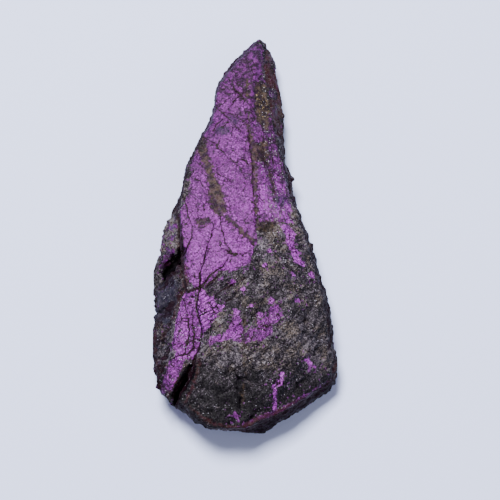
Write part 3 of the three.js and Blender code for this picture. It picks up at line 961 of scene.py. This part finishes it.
class StoneNodes:
    """The stone's node tree: its marks, and patterns whose sizes are real ones in millimetres."""

    def __init__(self, name: str) -> None:
        """Start a material, with places in millimetres and every mark ready to link.

        Args:
            name: the material's name.
        """
        self.material = bpy.data.materials.new(name)
        self.material.use_nodes = True
        self.tree = self.material.node_tree
        self.tree.nodes.clear()
        place = self.add("TexCoord", {}, {}, "Object")
        self.place = self.add("VectorMath", {"operation": "SCALE"}, {0: place, "Scale": 1 / MM})
        self.marks = {}
        for mark in Mark:
            self.marks[mark] = self.add("Attribute", {"attribute_name": mark.value}, {}, "Fac")

    def add(self, kind: str, settings: dict, inputs: dict, output: str | int | None = 0) -> Socket | None:
        """Add a node.

        Args:
            kind: the node's type without its prefix.
            settings: its properties.
            inputs: for each input's name or number, a value, a hex colour, or an output to link from.
            output: name or number of the output to hand back.

        Returns:
            That output, or None where none is named.
        """
        node = self.tree.nodes.new("ShaderNode" + kind)
        for name, value in settings.items():
            setattr(node, name, value)
        for name, value in inputs.items():
            if isinstance(value, Socket):
                self.tree.links.new(value, node.inputs[name])
            else:
                node.inputs[name].default_value = hex_to_linear(value) if isinstance(value, str) else value
        return None if output is None else node.outputs[output]

    def mottle(self, level: float | Socket, size: float, swing: float, detail: float, seed: float) -> Socket:
        """Add noise that swings about 0 to a value.

        Args:
            level: the value.
            size: width of the noise's lumps in millimetres.
            swing: how far it goes, from its lowest to its highest.
            detail: octaves of finer noise on top.
            seed: moves the pattern, so that two noises of one size differ.

        Returns:
            The sum.
        """
        shift = (seed, seed * 1.7, seed * 0.6)
        moved = self.add("VectorMath", {"operation": "ADD"}, {0: self.place, 1: shift})
        lumps = {"Vector": moved, "Scale": 1 / size, "Detail": detail, "Roughness": 0.6}
        noise = self.add("TexNoise", {}, lumps)
        centred = self.add("Math", SUBTRACT, {0: noise, 1: 0.5})
        return self.add("Math", MULTIPLY_ADD, {0: centred, 1: swing, 2: level})

    def patches(
        self,
        lean: tuple[Mark, float] | None,
        size: float,
        low: float,
        high: float,
        detail: float,
        seed: float,
        share: float = 1.0,
    ) -> Socket:
        """Areas where noise passes a level.

        Args:
            lean: a mark whose value lifts the noise, and how far it does, or None.
            size: width of the areas in millimetres.
            low: noise, from -0.5 to 0.5, where an area begins.
            high: noise where it is full.
            detail: octaves of finer noise on top.
            seed: moves the pattern.
            share: the areas' highest value.

        Returns:
            0 outside the areas and share inside them.
        """
        lift = 0.0
        if lean:
            mark, weight = lean
            lift = self.add("Math", MULTIPLY, {0: self.marks[mark], 1: weight})
        noise = self.mottle(lift, size, 1.0, detail, seed)
        limits = {"Value": noise, "From Min": low, "From Max": high, "To Max": share}
        return self.add("MapRange", SMOOTH_RISE, limits)

    def ragged(
        self, mark: Mark, rag: float, size: float, seed: float, soft: float = 0.05, share: float = 1.0
    ) -> Socket:
        """A mark's area with a ragged edge.

        Args:
            mark: whose distance inside its edge is read.
            rag: how far the edge wanders, in millimetres.
            size: width of its bays in millimetres.
            seed: moves the pattern.
            soft: half width of the edge's fade in millimetres.
            share: the area's highest value.

        Returns:
            share inside the mark and 0 outside it.
        """
        # The noise seldom goes past a third of its swing on either side.
        depth = self.mottle(self.marks[mark], size, 3 * rag, 4.0, seed)
        limits = {"Value": depth, "From Min": -soft, "From Max": soft, "To Max": share}
        return self.add("MapRange", SMOOTH_RISE, limits)

    def layered(self, colour: str | Socket, *coats: tuple[Socket, str | Socket]) -> Socket:
        """Lay coats over a colour, one after another.

        Args:
            colour: the lowest one, a hex colour or an output.
            coats: each coat's share, from 0 to 1, and its colour.

        Returns:
            The colour that shows.
        """
        for share, over in coats:
            colour = self.add("Mix", COLOURS, {"Factor": share, UNDER: colour, OVER: over}, MIXED)
        return colour

    def shaded(
        self, colour: str | Socket, level: Socket, *shades: tuple[str | Socket, float, float]
    ) -> Socket:
        """Change a colour to one shade after another as a level rises.

        Args:
            colour: hex colour or output where the level is low.
            level: the level.
            shades: each shade, the level where it begins, and the level where it covers.

        Returns:
            The colour.
        """
        for shade, low, high in shades:
            cover = self.add("MapRange", SMOOTH_RISE, {"Value": level, "From Min": low, "From Max": high})
            colour = self.layered(colour, (cover, shade))
        return colour

    def bent(self, bend: float) -> Socket:
        """Bend the places, so that cells laid over them aren't regular.

        Args:
            bend: about how far, in millimetres.

        Returns:
            The bent places in millimetres.
        """
        wave = self.add("TexNoise", {}, {"Vector": self.place, "Scale": 0.9, "Detail": 3.0}, "Color")
        shift = self.add("VectorMath", SUBTRACT, {0: wave, 1: (0.5,) * 3})
        # Each part of the shift seldom goes past a quarter on either side.
        scaled = self.add("VectorMath", {"operation": "SCALE"}, {0: shift, "Scale": 4 * bend})
        return self.add("VectorMath", {"operation": "ADD"}, {0: self.place, 1: scaled})

    def streaks(self, width: float, length: float, turn: float) -> Socket:
        """Noise about 0, drawn out into streaks.

        Args:
            width: their width in millimetres.
            length: their length in millimetres.
            turn: direction that they run in, in degrees to the left of the stone's length.

        Returns:
            Values from -0.5 to 0.5.
        """
        scale = (width, length, width)
        placing = {"Vector": self.place, "Rotation": (0, 0, math.radians(turn)), "Scale": scale}
        laid = self.add("Mapping", {"vector_type": "TEXTURE"}, placing)
        noise = self.add("TexNoise", {}, {"Vector": laid, "Scale": 1.0, "Detail": 3.0})
        return self.add("Math", SUBTRACT, {0: noise, 1: 0.5})

    def ridges(self, spacing: float, turn: float) -> Socket:
        """Parallel ridges, 1 along their crests and 0 between them.

        Args:
            spacing: distance from one to the next in millimetres.
            turn: direction that they run in, in degrees from +X.

        Returns:
            Their height.
        """
        placing = {"Vector": self.place, "Rotation": (0, 0, math.radians(turn)), "Scale": (spacing,) * 3}
        laid = self.add("Mapping", {"vector_type": "TEXTURE"}, placing)
        # At this scale a wave node has one crest for each unit of length.
        wave = {"Vector": laid, "Scale": math.pi / 10, "Distortion": 4.0, "Detail": 3.0}
        return self.add("TexWave", {"bands_direction": "Y"}, {**wave, "Detail Scale": 1.0}, "Fac")

    def hairlines(self, size: float, width: float, seed: float) -> Socket:
        """Hairline cracks around cells, broken off in places, and wider where the stone is crazed.

        Args:
            size: width of the cells in millimetres.
            width: half width of a crack as a share of that size.
            seed: moves where they break off.

        Returns:
            1 on a crack and 0 elsewhere.
        """
        cells = {"Vector": self.bent(0.3), "Scale": 1 / size}
        edge = self.add("TexVoronoi", {"feature": "DISTANCE_TO_EDGE"}, cells, "Distance")
        edge = self.add("Math", MULTIPLY_ADD, {0: self.marks[Mark.CRAZED], 1: -0.2 * width, 2: edge})
        line = self.add("MapRange", SMOOTH_RISE, {"Value": edge, "From Min": width, "From Max": width * 0.2})
        kept = self.patches((Mark.CRAZED, 0.04), size, low=-0.03, high=0.07, detail=3.0, seed=seed)
        return self.add("Math", MULTIPLY, {0: line, 1: kept})

    def sparkles(self, size: float, rarity: float) -> Socket:
        """1 on a few tiny grains that catch the light, 0 elsewhere.

        Args:
            size: width of a grain in millimetres.
            rarity: share of the grains that don't.

        Returns:
            The grains' area.
        """
        cells = {"Vector": self.place, "Scale": 1 / size}
        centre = self.add("TexVoronoi", {"feature": "F1"}, cells, "Distance")
        lot = self.add("SeparateColor", {}, {"Color": centre.node.outputs["Color"]}, "Green")
        chosen = self.add("Math", {"operation": "GREATER_THAN"}, {0: lot, 1: rarity})
        grain = self.add("MapRange", SMOOTH_RISE, {"Value": centre, "From Min": 0.34, "From Max": 0.2})
        return self.add("Math", MULTIPLY, {0: chosen, 1: grain})


@dataclass(frozen=True)
class VioletCleavage:
    """Purpurite split along its cleavage. The eye sees satin violet, peppered with black specks."""

    deep: str = "#2c0a34"
    mid: str = "#592460"
    bright: str = "#8a3698"
    pale: str = "#bc58cc"
    # Black specks; this colour is also painted as shade in the furrows of the striped patch.
    speck: str = "#1e0a22"
    crack: str = "#14030a"
    roughness: float = 0.5
    specular: float = 0.1

    def colour(self, m: StoneNodes) -> Socket:
        """Mix the violet: it changes over millimetres, with rougher patches, specks and hairlines.

        Args:
            m: the material's nodes.

        Returns:
            The violet's colour.
        """
        rough_part = m.patches((Mark.CRAZED, 0.16), size=1.5, low=-0.1, high=0.12, detail=3.0, seed=36.0)
        swing = m.add("Math", MULTIPLY_ADD, {0: rough_part, 1: 1.6, 2: 1.35})
        fine = m.mottle(0.0, size=0.18, swing=1.0, detail=4.0, seed=14.0)
        level = m.add("Math", MULTIPLY_ADD, {0: fine, 1: swing, 2: m.marks[Mark.TONE]})
        level = m.mottle(level, size=3.2, swing=0.6, detail=2.0, seed=3.0)
        level = m.mottle(level, size=0.8, swing=0.65, detail=3.0, seed=9.0)
        shades = ((self.mid, 0.05, 0.55), (self.bright, 0.45, 0.95), (self.pale, 0.95, 1.35))
        colour = m.shaded(self.deep, level, *shades)
        # The finest real specks wouldn't show, so these are drawn about 0.2 mm wide, and the dashes 0.1 mm.
        pepper = m.patches(
            (Mark.CRAZED, 0.03), size=0.2, low=0.12, high=0.2, detail=2.0, seed=31.0, share=0.85
        )
        colour = m.layered(colour, (pepper, self.speck))
        for width, length, turn in ((0.09, 1.3, 42.0), (0.1, 1.0, -35.0)):
            dashes = m.streaks(width, length, turn)
            dashes = m.add("Math", MULTIPLY_ADD, {0: m.marks[Mark.CRAZED], 1: 0.06, 2: dashes})
            colour = m.shaded(colour, dashes, (self.speck, 0.14, 0.22))
        for size, width, seed in ((2.6, 0.026, 50.0), (1.2, 0.045, 53.0)):
            colour = m.layered(colour, (m.hairlines(size, width, seed), self.crack))
        return colour


@dataclass(frozen=True)
class GreyRock:
    """Granular host rock, broken. The eye sees dull grey, olive and black grains, and glints painted on a
    few.
    """

    black: str = "#060308"
    dark: str = "#1a141b"
    grey: str = "#38323a"
    olive: str = "#41382f"
    light: str = "#60595f"
    # Painted highlight: the near-white laid on the grains that glint.
    glint: str = "#c4c0d0"
    fleck: str = "#5e2866"
    grain_width: float = 0.26
    roughness: float = 0.68
    specular: float = 0.14

    def colour(self, m: StoneNodes) -> Socket:
        """Mix the rock: grains of several greys, streaks of them, and violet flecks near the violet.

        Args:
            m: the material's nodes.

        Returns:
            The rock's colour.
        """
        # The finest real grains wouldn't show, so the smallest are drawn about 0.14 mm wide.
        cells = {"Vector": m.bent(0.12), "Scale": 1 / self.grain_width}
        grain = m.add("TexVoronoi", {"feature": "F1"}, cells, "Color")
        shade = m.add("SeparateColor", {}, {"Color": grain}, "Red")
        shade = m.add("Math", SUBTRACT, {0: shade, 1: 0.5})
        level = m.add("Math", MULTIPLY_ADD, {0: shade, 1: 0.55, 2: m.marks[Mark.ROCK_TONE]})
        level = m.mottle(level, size=1.8, swing=2.0, detail=4.0, seed=60.0)
        level = m.mottle(level, size=0.14, swing=4.0, detail=2.0, seed=66.0)
        # The streaks run the way that the rock broke, as the mesh's grains do.
        streaks = m.streaks(width=0.3, length=1.4, turn=-52.0)
        level = m.add("Math", MULTIPLY_ADD, {0: streaks, 1: 1.9, 2: level})
        colour = m.shaded(self.black, level, (self.dark, -0.15, 0.25), (self.grey, 0.15, 0.6))
        earthy = m.patches((Mark.ROCK_TONE, 0.15), size=1.6, low=0.0, high=0.15, detail=4.0, seed=77.0)
        earthy = m.layered(colour, (earthy, self.olive))
        colour = m.shaded(colour, level, (earthy, 0.35, 0.6), (self.light, 0.75, 1.15))
        flecks = m.patches(
            (Mark.VIOLET, 0.06), size=0.35, low=0.08, high=0.13, detail=3.0, seed=88.0, share=0.7
        )
        return m.layered(colour, (flecks, self.fleck))


@dataclass(frozen=True)
class BrownVein:
    """Iron oxides in a healed crack, weathered. The eye sees matt earthy brown with dark grains."""

    dark: str = "#120b0e"
    light: str = "#42352b"

    def colour(self, m: StoneNodes) -> Socket:
        """Brown in grains of two shades."""
        level = m.mottle(0.5, size=0.55, swing=1.0, detail=5.0, seed=24.0)
        return m.shaded(self.dark, level, (self.light, 0.4, 0.72))


@dataclass(frozen=True)
class Stains:
    """Thin weathered coats. The eye sees slate-blue films, an ochre crust, red and brown rust; black is
    painted shade.
    """

    slate: str = "#1d192a"
    ochre: str = "#7c6a4a"
    rust: str = "#2a0514"
    iron: str = "#28120e"
    # Painted shade: the near-black of the hollow, the cleft and the pits.
    black: str = "#020103"
    # Dark joints of the cracks; the same colour is painted as shade on the steep rim.
    crack: str = "#14030a"

    def over(self, m: StoneNodes, colour: Socket) -> Socket:
        """Lay the films, the crust and the rust over a colour, and the cracks last.

        Args:
            m: the material's nodes.
            colour: the colour without them.

        Returns:
            The colour with them.
        """
        slate = m.ragged(Mark.SLATE, rag=0.35, size=0.5, seed=30.0, soft=0.2, share=0.62)
        grains = m.patches(None, size=0.22, low=0.1, high=0.17, detail=2.0, seed=37.0)
        crust = m.add("Math", MULTIPLY, {0: m.ragged(Mark.OCHRE, rag=0.4, size=0.5, seed=35.0), 1: grains})
        level = m.mottle(0.5, size=0.35, swing=1.0, detail=3.0, seed=41.0)
        rust = m.shaded(self.rust, level, (self.iron, 0.42, 0.62))
        rusty = m.ragged(Mark.RUST, rag=0.35, size=0.4, seed=40.0, soft=0.12, share=0.72)
        colour = m.layered(colour, (slate, self.slate), (crust, self.ochre), (rusty, rust))
        gap = m.mottle(m.marks[Mark.CRACK], size=0.25, swing=0.12, detail=2.0, seed=45.0)
        return m.shaded(colour, gap, (self.crack, 0.11, 0.03))


@dataclass(frozen=True)
class PurpuriteFinish:
    """The stone's one material, from the finishes of its parts.

    Args:
        violet: finish of the violet.
        rock: finish of the rock.
        vein: finish of the brown vein.
        stains: finish of the thin coats.
        index: the stone's index of refraction.
        sparkle_width: width of a painted glint in millimetres. Real ones are finer and wouldn't show.
        bump_height: height of the finest relief in millimetres.
    """

    violet: VioletCleavage = VioletCleavage()
    rock: GreyRock = GreyRock()
    vein: BrownVein = BrownVein()
    stains: Stains = Stains()
    index: float = 1.6
    sparkle_width: float = 0.14
    bump_height: float = 0.14

    def violet_area(self, m: StoneNodes) -> Socket:
        """Find where the violet is: right of the seam it has gone in streaks.

        Args:
            m: the material's nodes.

        Returns:
            1 where it is and 0 elsewhere.
        """
        area = m.ragged(Mark.VIOLET, rag=0.3, size=0.45, seed=5.0)
        streaks = m.streaks(width=0.22, length=2.4, turn=4.0)
        limits = {"Value": streaks, "From Min": -0.04, "From Max": 0.06, "To Max": 0.75}
        lost = m.add("MapRange", SMOOTH_RISE, limits)
        lost = m.add("Math", MULTIPLY, {0: lost, 1: m.marks[Mark.GLITTER]})
        kept = m.add("Math", SUBTRACT, {0: 1.0, 1: lost})
        return m.add("Math", MULTIPLY, {0: area, 1: kept})

    def furrow_shade(self, m: StoneNodes, striped: Socket, ridges: Socket) -> Socket:
        """Find the painted shade in the furrows of the striped patch.

        Args:
            m: the material's nodes.
            striped: where the patch is.
            ridges: the ridges that they run between.

        Returns:
            Their share, from 0 to 0.65.
        """
        height = m.mottle(ridges, size=0.5, swing=1.2, detail=3.0, seed=44.0)
        limits = {"Value": height, "From Min": 0.33, "From Max": 0.08, "To Max": 0.65}
        return m.add("Math", MULTIPLY, {0: m.add("MapRange", SMOOTH_RISE, limits), 1: striped})

    def shaded_rim(self, m: StoneNodes) -> Socket:
        """Find the patchy painted shade on the steep rim.

        Args:
            m: the material's nodes.

        Returns:
            Its share, from 0 to 0.8.
        """
        level = m.mottle(m.marks[Mark.SHADED_RIM], size=0.8, swing=2.4, detail=4.0, seed=95.0)
        limits = {"Value": level, "From Min": 0.35, "From Max": 1.15, "To Max": 0.8}
        return m.add("MapRange", SMOOTH_RISE, limits)

    def sparkle(self, m: StoneNodes, violet_area: Socket, dull: Socket) -> Socket:
        """Find where glints are painted: clusters in the rock and in the rough violet, and few where it is
        dull.

        Args:
            m: the material's nodes.
            violet_area: where the violet is.
            dull: where the stone is dull.

        Returns:
            Their share, from 0 to 0.75.
        """
        rocky = m.add("Math", SUBTRACT, {0: 1.0, 1: violet_area})
        clusters = m.patches(None, size=1.2, low=-0.02, high=0.12, detail=3.0, seed=47.0, share=0.65)
        in_rock = m.add("Math", MULTIPLY, {0: clusters, 1: rocky})
        rough_part = m.add("Math", LARGER, {0: m.marks[Mark.GLITTER], 1: m.marks[Mark.CRAZED]})
        bright_part = m.patches(
            (Mark.GLITTER, 0.08), size=1.0, low=-0.06, high=0.06, detail=3.0, seed=49.0, share=0.75
        )
        in_violet = m.add("Math", MULTIPLY, {0: rough_part, 1: bright_part})
        either = m.add("Math", LARGER, {0: in_rock, 1: in_violet})
        lit = m.add("Math", MULTIPLY_ADD, {0: dull, 1: -0.85, 2: 1.0})
        shown = m.add("Math", MULTIPLY, {0: either, 1: lit})
        return m.add("Math", MULTIPLY, {0: shown, 1: m.sparkles(self.sparkle_width, rarity=0.87)})

    def roughness(self, m: StoneNodes, violet_area: Socket, sparkle: Socket) -> Socket:
        """Work out the roughness: it is uneven over tenths of a millimetre, and lower where glints are
        painted.

        Args:
            m: the material's nodes.
            violet_area: where the violet is.
            sparkle: where the glints are painted.

        Returns:
            The roughness.
        """
        step = self.violet.roughness - self.rock.roughness
        rough = m.add("Math", MULTIPLY_ADD, {0: violet_area, 1: step, 2: self.rock.roughness})
        rough = m.mottle(rough, size=0.3, swing=0.35, detail=3.0, seed=55.0)
        return m.add("Math", MULTIPLY_ADD, {0: sparkle, 1: -0.3, 2: rough})

    def shine(self, m: StoneNodes, violet_area: Socket, dull: Socket) -> Socket:
        """Work out the reflections: most on the crests of the fine relief, nearly none where it is dull.

        Args:
            m: the material's nodes.
            violet_area: where the violet is.
            dull: where the stone is dull.

        Returns:
            Their strength.
        """
        step = self.violet.specular - self.rock.specular
        shine = m.add("Math", MULTIPLY_ADD, {0: violet_area, 1: step, 2: self.rock.specular})
        kept = m.add("Math", MULTIPLY_ADD, {0: dull, 1: -0.95, 2: 1.0})
        shine = m.add("Math", MULTIPLY, {0: shine, 1: kept})
        crests = m.mottle(0.9, size=0.14, swing=6.0, detail=3.0, seed=58.0)
        return m.add("Math", {"operation": "MULTIPLY", "use_clamp": True}, {0: shine, 1: crests})

    def bump(self, m: StoneNodes, striped: Socket, ridges: Socket) -> Socket:
        """Make the relief too small for the mesh: lumps of 0.4 and 0.14 mm, and the ridges of the patch.

        Args:
            m: the material's nodes.
            striped: where the striped patch is.
            ridges: its ridges.

        Returns:
            The bumped normal.
        """
        height = m.mottle(0.5, size=0.4, swing=1.0, detail=4.0, seed=59.0)
        height = m.mottle(height, size=0.14, swing=0.5, detail=3.0, seed=58.0)
        ribs = m.add("Math", MULTIPLY, {0: striped, 1: ridges})
        height = m.add("Math", MULTIPLY_ADD, {0: ribs, 1: 0.4, 2: height})
        relief = {"Strength": 0.9, "Distance": self.bump_height * MM, "Height": height}
        return m.add("Bump", {}, relief, "Normal")

    def make(self) -> bpy.types.Material:
        """Build the material.

        Returns:
            The finished material.
        """
        m = StoneNodes("purpurite_in_grey_rock")
        violet_area = self.violet_area(m)
        worn = m.patches((Mark.WORN, 0.15), size=0.42, low=0.04, high=0.2, detail=5.0, seed=92.0, share=0.8)
        violet = m.layered(self.violet.colour(m), (worn, self.vein.dark))
        brown = m.ragged(Mark.BROWN, rag=0.55, size=0.45, seed=20.0, soft=0.14, share=0.9)
        striped = m.ragged(Mark.STRIPED, rag=0.3, size=0.5, seed=43.0)
        ridges = m.ridges(spacing=0.36, turn=36.0)
        furrow_shade = self.furrow_shade(m, striped, ridges)
        # Painted shade: near-black in the hollow, the cleft and the pits.
        shaded_hollow = m.ragged(Mark.SHADED_HOLLOW, rag=0.25, size=0.6, seed=48.0, soft=0.1, share=0.92)
        # Painted shade: patchy dark on the steep rim.
        shaded_rim = self.shaded_rim(m)
        dull = m.add("Math", LARGER, {0: shaded_hollow, 1: shaded_rim})
        # Painted highlights: glints on a few tiny grains.
        sparkle = self.sparkle(m, violet_area, dull)
        # Painted shade: the furrows of the striped patch darken between its ridges.
        coats = ((violet_area, violet), (brown, self.vein.colour(m)), (furrow_shade, self.violet.speck))
        stained = self.stains.over(m, m.layered(self.rock.colour(m), *coats))
        # Painted shade in the hollows and on the steep rim, and painted glints, are laid on last.
        coats = ((shaded_hollow, self.stains.black), (shaded_rim, self.stains.crack), (sparkle, self.rock.glint))
        surface = {
            "Base Color": m.layered(stained, *coats),
            "Roughness": self.roughness(m, violet_area, sparkle),
            "Specular IOR Level": self.shine(m, violet_area, dull),
            "IOR": self.index,
            "Normal": self.bump(m, striped, ridges),
        }
        m.add("OutputMaterial", {}, {"Surface": m.add("BsdfPrincipled", {}, surface)}, None)
        return m.material


@dataclass
class Studio:
    """Floor, lights and camera.

    Args:
        floor_colour: the floor's colour as a hex code.
        floor_size: its side in metres.
        camera_place: where the camera stands, in millimetres.
        camera_target: the point that it looks at, in millimetres.
        lens: its focal length in millimetres, on a sensor of the next width.
        sensor: width of the sensor in millimetres.
    """

    floor_colour: str = "#cdd6fc"
    floor_size: float = 1.2
    camera_place: tuple[float, float, float] = (-10.28, -47.14, 211.76)
    camera_target: tuple[float, float, float] = (0.68, -1.34, 0.0)
    lens: float = 144.0
    sensor: float = 36.0

    def floor(self) -> None:
        """A plain pale floor under the stone."""
        sheet = bmesh.new()
        bmesh.ops.create_grid(sheet, x_segments=1, y_segments=1, size=self.floor_size / 2)
        mesh = bpy.data.meshes.new("floor")
        sheet.to_mesh(mesh)
        sheet.free()
        floor = bpy.data.objects.new("floor", mesh)
        bpy.context.scene.collection.objects.link(floor)
        paint = bpy.data.materials.new("matt_floor_paint")
        paint.use_nodes = True
        shader = paint.node_tree.nodes["Principled BSDF"]
        shader.inputs["Base Color"].default_value = hex_to_linear(self.floor_colour)
        shader.inputs["Roughness"].default_value = 0.9
        mesh.materials.append(paint)

    def light(
        self, name: str, place: tuple[float, float, float], size: float, watts: float, colour: str
    ) -> None:
        """Hang a square soft light that faces the stone.

        Args:
            name: its name.
            place: where it hangs, in millimetres.
            size: its side in millimetres.
            watts: its power.
            colour: its colour as a hex code.
        """
        lamp = bpy.data.lights.new(name, "AREA")
        lamp.shape = "SQUARE"
        lamp.size = size * MM
        lamp.energy = watts
        lamp.color = hex_to_linear(colour)[:3]
        holder = bpy.data.objects.new(name, lamp)
        holder.location = Vector(place) * MM
        holder.rotation_euler = (-holder.location).to_track_quat("-Z", "Y").to_euler()
        bpy.context.scene.collection.objects.link(holder)

    def lights(self) -> None:
        """Soft daylight from the upper left, with a weak fill."""
        self.light("window", place=(-70, 115, 350), size=110, watts=4.1, colour="#ffffff")
        self.light("fill", place=(220, -160, 260), size=260, watts=0.35, colour="#f2f4ff")
        world = bpy.data.worlds.new("pale_room")
        world.use_nodes = True
        back = world.node_tree.nodes["Background"]
        back.inputs["Color"].default_value = hex_to_linear("#f3f3ff")
        back.inputs["Strength"].default_value = 0.3
        bpy.context.scene.world = world

    def camera(self) -> None:
        """The camera, at the photograph's angle, distance and lens."""
        data = bpy.data.cameras.new("camera")
        data.lens = self.lens
        data.sensor_width = self.sensor
        data.clip_start = 0.01
        data.clip_end = 5.0
        camera = bpy.data.objects.new("camera", data)
        place = Vector(self.camera_place) * MM
        aim = (Vector(self.camera_target) * MM - place).normalized()
        right = aim.cross(Vector((0, 1, 0))).normalized()
        camera.location = place
        camera.rotation_euler = Matrix((right, right.cross(aim), -aim)).transposed().to_euler()
        bpy.context.scene.collection.objects.link(camera)
        bpy.context.scene.camera = camera


def main() -> None:
    """Build the stone and its studio, and log how large the visual model is."""
    logging.basicConfig(level=logging.INFO, format="%(name)s: %(message)s")
    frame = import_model()
    studio = Studio()
    studio.camera()
    studio.lights()
    studio.floor()
    flake = PurpuriteFlake()
    stone = flake.build(frame["nodes"][flake.node])
    stone.data.materials.append(PurpuriteFinish().make())
    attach(stone, "root")
    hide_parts(flake.node)
    LOG.info("stone: %d vertices, %d faces", len(stone.data.vertices), len(stone.data.polygons))


if __name__ == "__main__":
    main()
